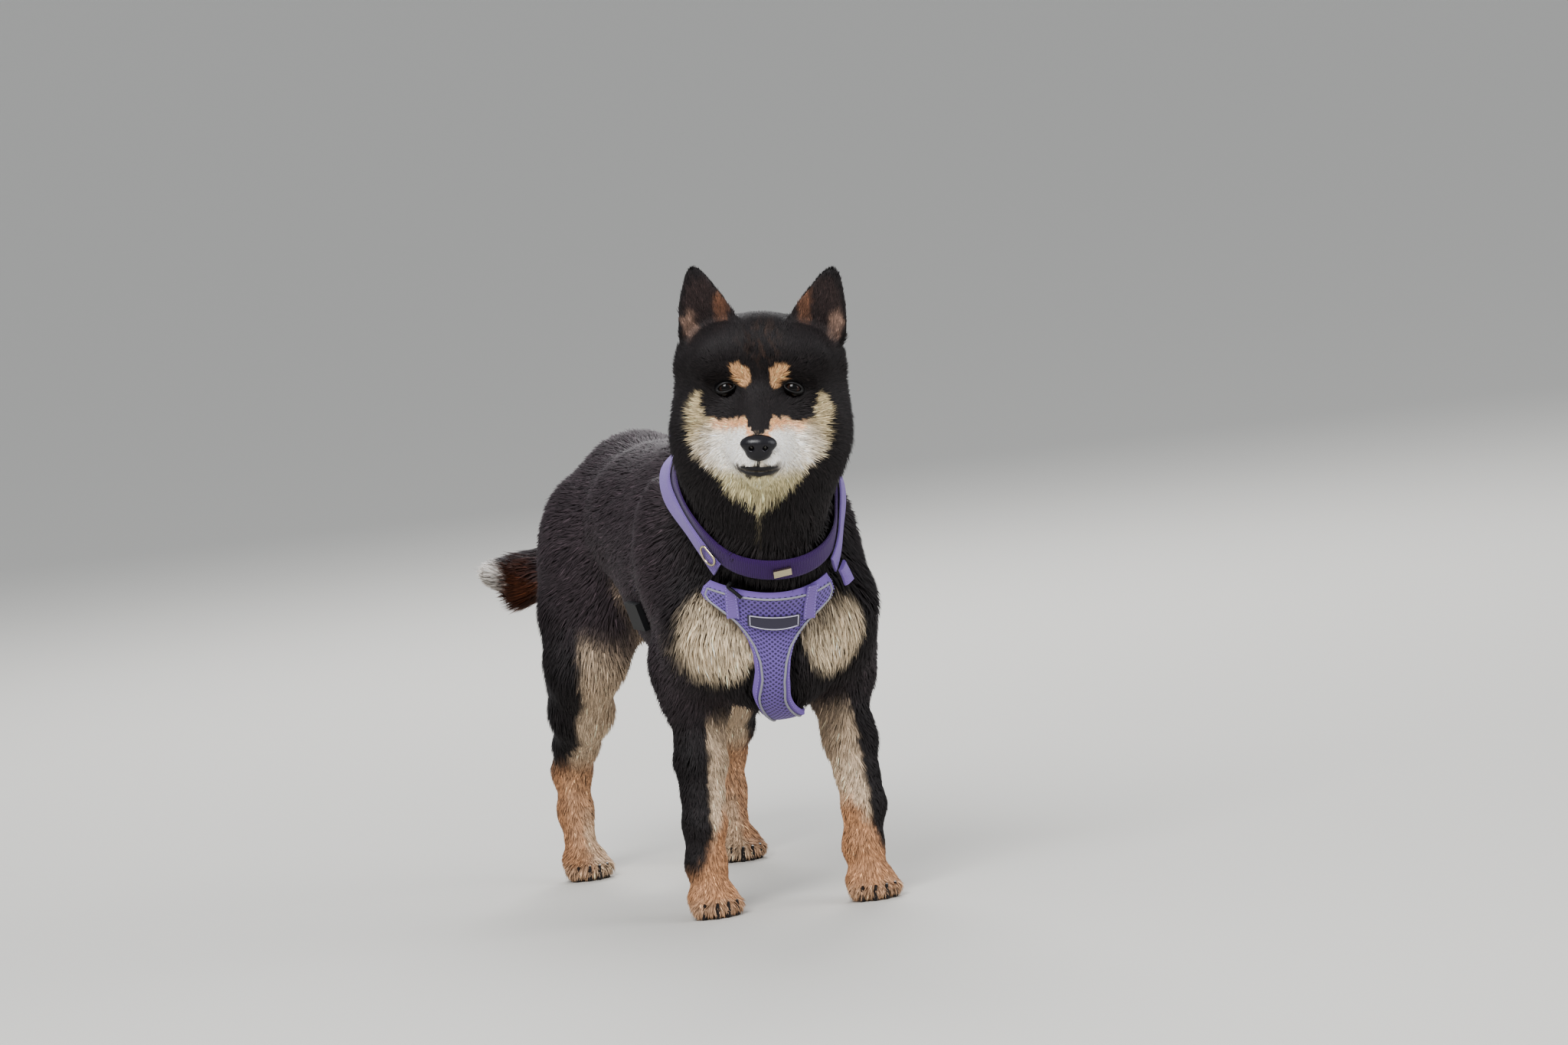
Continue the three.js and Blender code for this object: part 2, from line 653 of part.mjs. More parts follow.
// The chest plate: wide lobes at the top, a narrow tongue that passes under the chest
const PLATE_CENTRE = [cx - 19, 40, 262];
const PLATE_TILT = 0.11; // its left lobe hangs lower than its right
const PLATE_PROFILE = [
  [0, 42], [0.02, 49.5], [0.045, 53], [0.07, 50], [0.1, 40.5], [0.13, 31], [0.165, 23.5],
  [0.21, 17], [0.26, 13.3], [0.32, 12], [0.4, 13.5], [0.5, 16], [0.6, 17], [1, 17],
];
function plateHalf(s) {
  const i = PLATE_PROFILE.findIndex(([t]) => t >= s) || 1;
  const [t0, w0] = PLATE_PROFILE[i - 1];
  const [t1, w1] = PLATE_PROFILE[i];
  return THREE.MathUtils.lerp(w0, w1, THREE.MathUtils.smoothstep(s, t0, t1) * 0.4 + ((s - t0) / (t1 - t0)) * 0.6);
}
// A point of the plate: s runs from its top edge down and under, q across from -1 to 1
function platePoint(s, q, level) {
  const reach = 130;
  const top = 3.5 + 5.5 * q * q;
  const angle = THREE.MathUtils.degToRad(top + (-93 - top) * s);
  const across = q * plateHalf(s);
  const up = Math.sin(angle) * reach - PLATE_TILT * across * Math.max(0, Math.cos(angle));
  const drift = 32 * THREE.MathUtils.smoothstep(s, 0.38, 0.66);
  const way = new THREE.Vector3(across + drift, -Math.cos(angle) * reach, up).normalize();
  const from = new THREE.Vector3(...PLATE_CENTRE);
  let [near, far] = [20, 260];
  for (let i = 0; i < 30; i++) {
    const t = (near + far) / 2;
    const p = from.clone().addScaledVector(way, t);
    if (worn(p.x, p.y, p.z) > level) far = t;
    else near = t;
  }
  return from.addScaledVector(way, near);
}
function plateGrid(rows, columns, level, q0 = -1, q1 = 1, s0 = 0, s1 = 1) {
  return Array.from({ length: rows + 1 }, (_, i) =>
    Array.from({ length: columns + 1 }, (_, j) =>
      platePoint(s0 + (s1 - s0) * Math.pow(i / rows, 1.5), q0 + ((q1 - q0) * j) / columns, level),
    ),
  );
}
const LABEL = [-0.36, 0.4, 0.078, 0.124];
const plateTop = LEVEL.plate + PLATE_THICKNESS;
add("harness_plate", slabOf(plateGrid(22, 8, LEVEL.plate), plateGrid(22, 8, plateTop)), LAVENDER);
add(
  "harness_label",
  slabOf(plateGrid(2, 4, plateTop + 0.3, ...LABEL), plateGrid(2, 4, plateTop + 1.5, ...LABEL)),
  0x34323c,
);

// The collar, a ring around the base of the neck
const collarMiddle = new THREE.Vector3(-4, -58, 349);
const collarFacing = new THREE.Vector3(0.08, -0.6, 0.8).normalize();
const collarSide = new THREE.Vector3(1, 0, 0);
const collarAhead = new THREE.Vector3().crossVectors(collarFacing, collarSide).normalize();
collarSide.crossVectors(collarAhead, collarFacing);
const collarPath = Array.from({ length: 16 }, (_, i) => {
  const a = (i / 16) * 2 * Math.PI;
  return collarMiddle
    .clone()
    .addScaledVector(collarSide, 66 * Math.sin(a))
    .addScaledVector(collarAhead, 66 * Math.cos(a))
    .toArray();
});
add("collar", band(collarPath, COLLAR_WIDTH, LEVEL.collar, { closed: true, steps: 44 }), PURPLE);

// Two straps from the plate's lobes over the shoulders to the pad on the withers
const strapPath = {
  neck_strap_right: [[-51, -102, 297], [-58, -91, 317], [-60, -60, 344], [-54, -8, 374], [-34, 32, 398]],
  neck_strap_left: [[28, -102, 291], [38, -96, 304], [50, -78, 323], [57, -10, 366], [38, 32, 398]],
};
for (const [name, path] of Object.entries(strapPath))
  add(name, band(path, STRAP_WIDTH, LEVEL.strap, { steps: 22 }), LAVENDER);

// The girth strap, out of sight behind the shoulders, and the pad it hangs from
for (const [name, path] of Object.entries(girthPath))
  add(name, band(path, STRAP_WIDTH, LEVEL.girth, { steps: 22 }), LAVENDER);
add("back_pad", band([[cx, 36, 400], [cx, 58, 400], [cx, 92, 398]], 54, LEVEL.pad, { steps: 6, thick: 4 }), LAVENDER);

// Small fittings, each clear of the band it sits on: two rings, a slide on the collar, two buckles
function fitting(geometry, target, level) {
  const at = onto(worn, new THREE.Vector3(...target), level);
  const turn = new THREE.Quaternion().setFromUnitVectors(new THREE.Vector3(0, 0, 1), slope(worn, at));
  return solidOf(geometry.applyQuaternion(turn).translate(at.x, at.y, at.z));
}
const overCollar = LEVEL.collar + WEB;
add("collar_ring", fitting(new THREE.TorusGeometry(8, 1.4, 6, 18), [-37, -102, 317], overCollar + 5.4), 0xb8b09a);
add("collar_slide", fitting(new THREE.BoxGeometry(15, 7, 2.4), [-8, -112, 309], overCollar + 1.8), 0xb8b09a);
add("pad_ring", fitting(new THREE.TorusGeometry(9, 1.6, 6, 18), [cx, 64, 402], LEVEL.pad + 4 + 2.6), 0xb8b09a);
for (const [name, at] of Object.entries(buckles))
  add(name, fitting(new THREE.BoxGeometry(...BUCKLE), at, overGirth + 3.2), 0x141416);

// The origin is the middle of the whole figure's footprint
const middle = new THREE.Box3().setFromObject(group).getCenter(new THREE.Vector3());
for (const mesh of group.children) mesh.geometry.translate(-middle.x, -middle.y, 0);

export default group;
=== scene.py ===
# %% [markdown]
# # A shiba inu in a chest harness
# A life-size, still figure. The CAD solids give the shape out to the tips of the coat.
# Here one skin lies inside those solids, solid tufts of fur grow from it, and the harness, the
# collar, the eyes, the nose and the claws get their real surfaces.

import math

import bmesh
import bpy
import numpy as np
import openvdb as vdb
from mathutils import Matrix, Vector, kdtree


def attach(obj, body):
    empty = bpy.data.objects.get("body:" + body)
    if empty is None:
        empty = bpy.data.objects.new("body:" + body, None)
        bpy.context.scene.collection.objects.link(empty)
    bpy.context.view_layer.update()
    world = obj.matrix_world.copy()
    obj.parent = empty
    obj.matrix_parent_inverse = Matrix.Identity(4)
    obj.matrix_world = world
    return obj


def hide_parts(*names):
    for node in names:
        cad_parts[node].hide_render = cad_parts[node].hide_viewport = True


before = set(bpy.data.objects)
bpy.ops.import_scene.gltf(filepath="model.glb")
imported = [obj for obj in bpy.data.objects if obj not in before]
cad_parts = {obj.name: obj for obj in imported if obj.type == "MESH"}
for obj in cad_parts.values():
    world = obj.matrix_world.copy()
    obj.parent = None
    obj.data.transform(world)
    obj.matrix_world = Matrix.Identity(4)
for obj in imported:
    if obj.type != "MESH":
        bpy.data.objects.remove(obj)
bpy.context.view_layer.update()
rng = np.random.default_rng(7)
MM = 0.001

# %% [markdown]
# ## Sizes
# The animal is described in millimetres by the same bones and muscles as the solids. The
# row frame's origin is the middle of the footprint, so every point is moved by `ORIGIN` once.

# %% Sizes
ORIGIN = np.array([-6.661, 93.841, 0.0])
CX, HALF = 3.0, 86.0
WITHERS, RUMP, BUTTOCK_Y = 394.0, 388.0, 372.0
ELBOW_Z, CARPUS_Z, HOCK_Z = 186.0, 78.0, 98.0
HEAD_AT = np.array([-19.0, -160.0, 442.0])
HEAD_YAW, HEAD_TILT, HEAD_PITCH = -19.0, 6.8, 3.0
EYE = np.array([27.0, -6.5, 0.7])
EYE_RADIUS = 9.6
NOSE = np.array([0.0, -64.0, -46.0])
EAR_WIDTH, EAR_HEIGHT, EAR_THICKNESS = 54.0, 58.0, 6.5
CELL = 3.1  # of the grid that the skin is drawn from
FLOOR_GAP = dict(outline=0.4, skin=0.3, tufts=0.15)  # between the floor and the lowest points
LEGS = {
    "foreleg_right": dict(paw=(-62, -4), mid=(-59, 4), top=(-49, 16)),
    "foreleg_left": dict(paw=(63, -46), mid=(68, -36), top=(69, 0)),
    "hindleg_right": dict(paw=(-61, 362), mid=(-57, 384), top=(-63, 276)),
    "hindleg_left": dict(paw=(69, 330), mid=(76, 354), top=(68, 262)),
}


def to_row(points):
    """Millimetres of the dog's own frame to metres of the row frame."""
    return (np.asarray(points, float) - ORIGIN) * MM


print("withers in metres:", WITHERS * MM, "between the eyes:", 2 * EYE[0] * MM)


# %% Objects and meshes
def new_object(name, data):
    """An object of a mesh, a lamp or a camera, put in the scene."""
    piece = bpy.data.objects.new(name, data)
    bpy.context.collection.objects.link(piece)
    return piece


def turn_outwards(mesh, merge=False):
    """Makes the faces point outwards, after joining points that coincide where merge is set."""
    b = bmesh.new()
    b.from_mesh(mesh)
    if merge:
        bmesh.ops.remove_doubles(b, verts=b.verts, dist=1e-6)
    bmesh.ops.recalc_face_normals(b, faces=b.faces[:])
    b.to_mesh(mesh)
    b.free()


def smooth(mesh):
    """Shades a mesh smoothly."""
    mesh.polygons.foreach_set("use_smooth", [True] * len(mesh.polygons))


# %% [markdown]
# ## Fields of distance
# A field takes points as an (n, 3) array and gives each one's distance from a shape, negative
# inside. Ellipsoids and round-ended cones are blended into muscles, and the muscles into the dog.
# Meshes could be joined instead, but fields blend without a seam, and they also say how far a
# point is from each part, which places the straps and the markings.

# %% Fields
def turn_matrix(x=0.0, y=0.0, z=0.0):
    """Turns about x, y and z in degrees, x outermost, as a 3x3."""
    rx, ry, rz = (Matrix.Rotation(math.radians(a), 3, axis) for a, axis in ((x, "X"), (y, "Y"), (z, "Z")))
    return np.array(rx @ ry @ rz)


def ball(centre, half, turn=(0, 0, 0)):
    """An ellipsoid."""
    centre, half, local = np.array(centre, float), np.array(half, float), turn_matrix(*turn)

    def field(p):
        q = (p - centre) @ local
        k0 = np.linalg.norm(q / half, axis=1)
        k1 = np.linalg.norm(q / half**2, axis=1)
        return k0 * (k0 - 1) / np.maximum(k1, 1e-9)

    return field


def bone(start, end, r1, r2):
    """A cone with round ends."""
    a, b = np.array(start, float), np.array(end, float) - np.array(start, float)
    l2, rr = b @ b, r1 - r2
    a2 = l2 - rr * rr

    def field(p):
        pa = p - a
        y = pa @ b
        z = y - l2
        x2 = ((pa * l2 - np.outer(y, b)) ** 2).sum(1)
        y2, z2 = y * y * l2, z * z * l2
        k = np.sign(rr) * rr * rr * x2
        middle = (np.sqrt(x2 * a2 / l2) + y * rr) / l2 - r1
        low = np.sqrt(x2 + y2) / l2 - r1
        high = np.sqrt(x2 + z2) / l2 - r2
        out = np.where(np.sign(y) * a2 * y2 < k, low, middle)
        return np.where(np.sign(z) * a2 * z2 > k, high, out)

    return field


def soft(a, b, k):
    """The smaller of two distances, with a fillet about k wide where they meet."""
    h = np.maximum(k - np.abs(a - b), 0) / k
    return np.minimum(a, b) - h * h * k * 0.25


def blend(k, *fields):
    """A smooth union with fillets about k wide."""

    def field(p):
        out = fields[0](p)
        for f in fields[1:]:
            out = soft(out, f(p), k)
        return out

    return field


def chain(k, *points):
    """Bones through points of (x, y, z, radius)."""
    return blend(k, *(bone(a[:3], b[:3], a[3], b[3]) for a, b in zip(points, points[1:])))


def both(field):
    """A field with its mirror image across x = 0."""
    return lambda p: field(np.abs(p) * [1, 0, 0] + p * [0, 1, 1])


def placed(matrix, field):
    """A field of one frame's points, moved by a matrix."""
    back = np.linalg.inv(matrix)
    return lambda p: field(p @ back[:3, :3].T + back[:3, 3])


def slope(field, p, e=0.6):
    """The unit outward direction of a field at points."""
    g = np.stack([field(p + d) - field(p - d) for d in np.eye(3) * e], 1)
    return g / np.maximum(np.linalg.norm(g, axis=1, keepdims=True), 1e-9)


def onto(field, p, level=0.0, rounds=5):
    """Slides points along the field's slope onto one of its levels."""
    for _ in range(rounds):
        p = p - slope(field, p) * (field(p) - level)[:, None]
    return p


# %% [markdown]
# ## The animal's shape
# Trunk, neck, head, ears, legs and tail, with the same numbers as the solids.

# %% Trunk, neck and head
trunk_field = blend(
    26,
    ball((CX, 75, WITHERS - 108), (HALF - 5, 145, 108)),
    ball((CX, 190, RUMP - 74), (HALF - 13, 120, 70)),
    ball((CX + 4, BUTTOCK_Y - 84, RUMP - 88), (HALF - 18, 84, 88)),
    ball((CX, -42, 245), (64, 56, 80), (-8, 0, 0)),
    ball((CX, -22, 345), (56, 66, 50), (-25, 0, 0)),
    ball((CX - 50, 2, 276), (37, 52, 90), (-14, -6, 0)),
    ball((CX + 56, -14, 278), (38, 52, 90), (-14, 4, 0)),
    bone((CX - 53, -42, 244), (-50, 14, 196), 35, 30),
    bone((CX + 54, -52, 248), (69, -2, 196), 35, 34),
    ball((CX - 50, 300, 262), (40, 68, 88), (12, -4, 0)),
    ball((CX + 52, 292, 262), (42, 70, 88), (12, 4, 0)),
)
neck_field = blend(
    24,
    bone((-6, -112, 410), (CX, -28, 325), 64, 62),
    bone((-14, -128, 372), (CX - 2, -66, 285), 52, 50),
    ball((-9, -116, 398), (72, 52, 62), (0, -6.8, -16)),
)
head_frame = np.array(
    Matrix.Translation(HEAD_AT)
    @ Matrix.Rotation(math.radians(HEAD_YAW), 4, "Z")
    @ Matrix.Rotation(math.radians(HEAD_TILT), 4, "Y")
    @ Matrix.Rotation(math.radians(-HEAD_PITCH), 4, "X")
)


def face_shape(p):
    """The head in its own frame: the eyes' middle at the origin, the nose towards -Y."""
    full = blend(
        13,
        ball((0, 40, 8), (65, 60, 55)),
        ball((0, 66, -8), (72, 46, 62)),
        bone((0, 14, -58), (0, 26, -90), 36, 13),
        both(ball((24, 4, 22), (34, 30, 26))),
        both(ball((37, 36, 20), (33, 32, 36))),
        both(ball((40, 26, -32), (29, 40, 36))),
        both(ball((28, 4, -1), (17, 15, 14))),
        ball((0, 14, 28), (46, 34, 30)),
        bone((0, -2, -30), (0, -44, -49), 29, 16.5),
        bone((0, -2, -8), (0, -54, -41), 17, 10.5),
        both(bone((11, -20, -48), (8, -50, -55), 17, 11)),
        bone((0, 0, -60), (0, -44, -68), 23, 9.5),
        both(ball((32, 18, -52), (26, 34, 26))),
        ball((0, 24, -74), (38, 36, 28)),
    )(p)
    return -soft(-full, both(ball((27, -24, -1.5), (13, 12, 8.5)))(p), 7)


def ear_shape(p):
    """One ear: u outwards, v back, w up to the tip."""
    u, v, w = p.T
    edges = (
        u - EAR_WIDTH * 0.44,
        (u - EAR_WIDTH * 0.44) * 0.9 + (w - 38) * 0.44,
        -(u + 28) * 0.755 + (w - 13) * 0.656,
        -w - 12,
    )
    outline = w - EAR_HEIGHT - 5
    for edge in edges:
        outline = -soft(-outline, -edge, 12)
    cup = 15 * (u / (EAR_WIDTH / 2)) ** 2 * (1 - 0.55 * np.clip(w / EAR_HEIGHT, 0, 1))
    thick = EAR_THICKNESS / 2 + np.maximum(0, 6 - w) * 0.12
    return -soft(-outline, -(np.abs(v + cup) * 0.86 - thick), 5)


def ear_frame(side):
    """Where an ear stands on the head, as a 4x4."""
    local = (
        Matrix.Translation((side * 43 + 2, 20, 45))
        @ Matrix.Rotation(math.radians(side * 14), 4, "Z")
        @ Matrix.Rotation(math.radians(8), 4, "X")
        @ Matrix.Diagonal((side, 1, 1, 1))
    )
    return head_frame @ np.array(local)


def paw_shape(x, y, width):
    """Four toes, the inner two further ahead, and the pad behind them."""
    toes = []
    for n in (-1.5, -0.5, 0.5, 1.5):
        out, ahead = n * width * 0.25, -17 if abs(n) < 1 else -11
        toes.append(bone((x + out * 0.8, y + 2, 17), (x + out, y + ahead, 9), 9, 8.2))
    return blend(5, *toes, ball((x, y + 4, 10), (width * 0.46, 17, 11)))


# %% Legs and tail
def foreleg(paw, mid, top):
    """A foreleg from the shoulder down, and its paw."""
    column = chain(
        8,
        (top[0], top[1] + 4, 214, 35),
        (top[0], top[1], ELBOW_Z - 8, 26),
        ((top[0] + mid[0]) / 2, (top[1] + mid[1]) / 2, 132, 21.5),
        (*mid, CARPUS_Z, 17.5),
        (paw[0], (paw[1] + mid[1]) / 2 + 4, 44, 16.2),
        (paw[0], paw[1] + 2, 20, 15.5),
    )
    return blend(9, column, paw_shape(*paw, 38))


def hindleg(paw, mid, top):
    """A hind leg with its thigh, calf, heel tendon and paw."""
    column = chain(
        12,
        (top[0] * 0.89, top[1] + 22, 236, 38),
        (top[0], top[1] + 10, 196, 33),
        ((top[0] + mid[0]) / 2, top[1] + 46, 152, 27),
        (mid[0], mid[1] - 22, 118, 18),
        (*mid, HOCK_Z - 4, 15.5),
        ((paw[0] + mid[0]) / 2, mid[1] - 3, 58, 13.5),
        (paw[0], paw[1] + 8, 24, 14),
    )
    calf = ball(((top[0] + mid[0]) / 2, top[1] + 62, 178), (22, 34, 44), (30, 0, 0))
    tendon = bone((mid[0], mid[1] + 3, HOCK_Z + 4), ((top[0] + mid[0]) / 2, top[1] + 84, 160), 9, 14)
    return blend(10, column, calf, tendon, paw_shape(*paw, 35))


tail_field = chain(
    16,
    (CX, 340, 334, 22),
    (CX - 8, 376, 300, 24),
    (-38, 390, 270, 24),
    (-74, 386, 265, 21),
    (-104, 374, 273, 11),
    (-117, 366, 278, 3.5),
)
leg_fields = {n: (foreleg if n.startswith("fore") else hindleg)(**at) for n, at in LEGS.items()}
head_field = placed(head_frame, face_shape)
ear_fields = [placed(ear_frame(side), ear_shape) for side in (-1, 1)]
worn_field = blend(22, trunk_field, neck_field, *leg_fields.values())

# %% All parts
# Each part of the dog, the box it fills and how softly it joins the rest
PARTS = [
    ("trunk", trunk_field, None, 0),
    ("foreleg_right", leg_fields["foreleg_right"], ((-140, -70, -10), (-5, 90, 280)), 16),
    ("foreleg_left", leg_fields["foreleg_left"], ((5, -110, -10), (140, 80, 280)), 16),
    ("hindleg_right", leg_fields["hindleg_right"], ((-140, 200, -10), (-2, 460, 310)), 16),
    ("hindleg_left", leg_fields["hindleg_left"], ((2, 180, -10), (140, 440, 310)), 16),
    ("neck", neck_field, ((-110, -220, 210), (100, 70, 500)), 22),
    ("tail", tail_field, ((-150, 290, 210), (50, 450, 390)), 14),
    ("head", head_field, ((-130, -260, 290), (110, 0, 530)), 16),
    ("ear_right", ear_fields[0], ((-100, -190, 440), (20, -60, 560)), 4),
    ("ear_left", ear_fields[1], ((0, -190, 430), (110, -60, 560)), 4),
]


def whole(p):
    """The dog's field, and the field of each part, at points."""
    out, parts = None, {}
    for name, field, box, k in PARTS:
        d = np.full(len(p), 400.0)
        near = np.ones(len(p), bool) if box is None else ((p > box[0]) & (p < box[1])).all(1)
        d[near] = field(p[near])
        parts[name] = d
        out = d if out is None else soft(out, d, k)
    return out, parts


print("parts of the dog:", len(PARTS))

# %% [markdown]
# ## One skin
# A dog has one skin over all its parts, so one net is drawn round the whole field. The field is
# sampled on a grid, its zero level becomes a closed net of quads, and the face gets a finer net.
# Then every point moves inwards by the depth of the coat there.

# %% Depth of the coat
def head_local(p):
    """Points in the head's own frame."""
    back = np.linalg.inv(head_frame)
    return p @ back[:3, :3].T + back[:3, 3]


def weights(parts):
    """How much of each part a point belongs to."""
    names = [n for n, *_ in PARTS]
    d = np.stack([parts[n] for n in names], 1)
    w = np.exp(-np.clip(d - d.min(1, keepdims=True), 0, 200) / 7.0)
    return dict(zip(names, (w / w.sum(1, keepdims=True)).T))


def ramp(v, lo, hi):
    """0 below lo and 1 above hi, with a smooth rise between."""
    t = np.clip((v - lo) / (hi - lo), 0, 1)
    return t * t * (3 - 2 * t)


def coat(p, normal, w):
    """Depth of the coat, and length and width of its tufts, at points."""
    h = head_local(p)
    fore = w["foreleg_right"] + w["foreleg_left"]
    hind = w["hindleg_right"] + w["hindleg_left"]
    ears = w["ear_right"] + w["ear_left"]
    z = p[:, 2]
    face = w["head"] * ramp(-h[:, 1], -48, -10)
    back_of_head = w["head"] - face
    cheek = face * ramp(np.abs(h[:, 0]), 30, 50) * ramp(-h[:, 2], 4, 26)
    throat = face * ramp(-h[:, 2], 66, 84)
    muzzle = face * ramp(-h[:, 1], 12, 34)
    tail_end = w["tail"] * ramp(-p[:, 0], 62, 96)
    leg_up = ramp(z, 60, 175)
    depth = (
        w["trunk"] * 7.5 + w["neck"] * 13 + w["tail"] * 11 + back_of_head * 10 + ears * 1.0
        + fore * (1.4 + 4.0 * leg_up) + hind * (1.4 + 5.0 * leg_up)
        + face * 2.6 + cheek * 5.5 + throat * 9 - muzzle * 1.2 - tail_end * 5
    )
    length = (
        w["trunk"] * 19 + w["neck"] * 27 + w["tail"] * 30 + back_of_head * 20 + ears * 5.5
        + fore * (7 + 9 * leg_up) + hind * (7 + 11 * leg_up)
        + face * 7.5 + cheek * 9 + throat * 14 - muzzle * 3.2 - tail_end * 17
    )
    width = (
        w["trunk"] * 1.9 + w["neck"] * 1.9 + w["tail"] * 1.9 + back_of_head * 1.4 + ears * 0.75
        + fore * 1.2 + hind * 1.3 + face * 0.8 + cheek * 0.35 + throat * 0.6 - muzzle * 0.16
    )
    belly = ramp(-normal[:, 2], 0.4, 0.9) * w["trunk"]
    return depth, length + belly * 6, width


# %% Skin
GRID_LOW, GRID_HIGH = np.array([-132.0, -245.0, -6.0]), np.array([130.0, 440.0, 562.0])
FAR_OFF = 30.0  # the field is kept to this distance
SLICE = 8  # layers worked out at a time
n = np.ceil((GRID_HIGH - GRID_LOW) / CELL).astype(int)
axes = [GRID_LOW[i] + CELL * np.arange(n[i]) for i in range(3)]
grid = np.full(tuple(n), FAR_OFF, np.float32)
for i0 in range(0, n[0], SLICE):
    xs = axes[0][i0 : i0 + SLICE]
    pts = np.stack(np.meshgrid(xs, axes[1], axes[2], indexing="ij"), -1).reshape(-1, 3)
    # under the belly and between the legs there is nothing
    empty = (pts[:, 1] > 40) & (pts[:, 1] < 200) & (pts[:, 2] < 120)
    value = np.full(len(pts), FAR_OFF)
    value[~empty] = whole(pts[~empty])[0]
    grid[i0 : i0 + SLICE] = np.clip(value, -FAR_OFF, FAR_OFF).reshape(len(xs), n[1], n[2])
volume = vdb.FloatGrid(FAR_OFF)
volume.copyFromArray(grid)
points, quads = volume.convertToQuads(0.0)
points = points.astype(float) * CELL + GRID_LOW
points[:, 2] = np.maximum(points[:, 2], FLOOR_GAP["outline"])

skin_mesh = bpy.data.meshes.new("skin")
skin_mesh.from_pydata(points.tolist(), [], quads[:, ::-1].tolist())
bm = bmesh.new()
bm.from_mesh(skin_mesh)
local = head_local(np.array([v.co for v in bm.verts]))
fine = (local[:, 1] < 14) & (np.abs(local[:, 0]) < 48) & (local[:, 2] > -84) & (local[:, 2] < 22)
edges = [e for e in bm.edges if fine[e.verts[0].index] and fine[e.verts[1].index]]
bmesh.ops.subdivide_edges(bm, edges=edges, cuts=1, use_grid_fill=True)
bmesh.ops.recalc_face_normals(bm, faces=bm.faces[:])
bm.to_mesh(skin_mesh)
bm.free()
p = np.empty(len(skin_mesh.vertices) * 3)
skin_mesh.vertices.foreach_get("co", p)
p = p.reshape(-1, 3)
for _ in range(2):
    d, parts = whole(p)
    g = np.stack([whole(p + e)[0] - whole(p - e)[0] for e in np.eye(3) * 0.7], 1)
    g /= np.maximum(np.linalg.norm(g, axis=1, keepdims=True), 1e-9)
    p = p - g * np.clip(d, -2, 2)[:, None]
envelope = p.copy()
skin_normal = g
w_skin = weights(parts)
depth_skin, _, _ = coat(p, g, w_skin)
print("skin points:", len(p), "faces:", len(skin_mesh.polygons))

# %% [markdown]
# ## Markings
# One function of place colours both skin and fur, so that no skin of another colour shows between
# the tufts: a black mask with pale cheeks, muzzle and brow spots, a cream bib and chest patches,
# legs that are black outside, pale inside and tan below, and a tail with a pale tip.

# %% Colours
def linear(hex_code):
    """An sRGB hex colour as linear values."""
    c = np.array([int(hex_code[i : i + 2], 16) for i in (1, 3, 5)]) / 255
    return np.where(c <= 0.04045, c / 12.92, ((c + 0.055) / 1.055) ** 2.4)


BLACK = linear("#1c1718")
BODY = linear("#352c30")
FOREHEAD = linear("#3a2a22")
WHITE = linear("#f2ebe2")
CREAM = linear("#cdbb95")
BIB = linear("#c9bf98")
ORANGE = linear("#d8945c")
TAN = linear("#a67c5c")
LEG_CREAM = linear("#b9a48c")
CHEST = linear("#c9b79c")
RUST = linear("#54301f")
EAR_DARK = linear("#2e2322")
EAR_TAN = linear("#7a5540")
EAR_GREY = linear("#94796a")
BROW = linear("#e0b184")
# the painted shade in the fold between muzzle and cheek
CREASE_SHADE = linear("#7d6a52")
LIP_BLACK = linear("#1a1416")
EYE_RIM = linear("#0e0b0d")
TAIL_TIP = linear("#d8d2cc")
print("the body's black, linear:", BODY.round(3))

# %% Markings
# How wide the face's pale part reaches at each depth below the eyes, and how low the mask comes
PALE_REACH = (
    [-30, 0, 4, 12, 30, 44, 54, 66, 81, 93, 101],
    [0, 43, 53, 57, 57, 54, 49, 38, 27, 13, 0],
)
MASK_EDGE = ([0, 8, 11, 20, 36, 44, 47, 58], [-36, -31, -22, -23, -25, -20, -2, 3])


def noise(p, scale, seed):
    """Smooth random values from -1 to 1, from waves in random directions."""
    r = np.random.default_rng(seed)
    total = np.zeros(len(p))
    for _ in range(7):
        way = r.normal(size=3)
        along_way = p @ (way / np.linalg.norm(way)) * 2 * np.pi / scale
        total += np.sin(along_way * r.uniform(0.6, 1.6) + r.uniform(0, 6.3))
    return total / 3.2


def spot(a, b, centre, half, edge=0.18):
    """1 inside an ellipse of the a, b plane and 0 outside, with a soft edge."""
    r = np.hypot((a - centre[0]) / half[0], (b - centre[1]) / half[1])
    return 1 - ramp(r, 1 - edge, 1 + edge)


def mix(base, colour, amount):
    """A colour blended over others by an amount at each point."""
    return base + (colour - base) * np.clip(amount, 0, 1)[:, None]


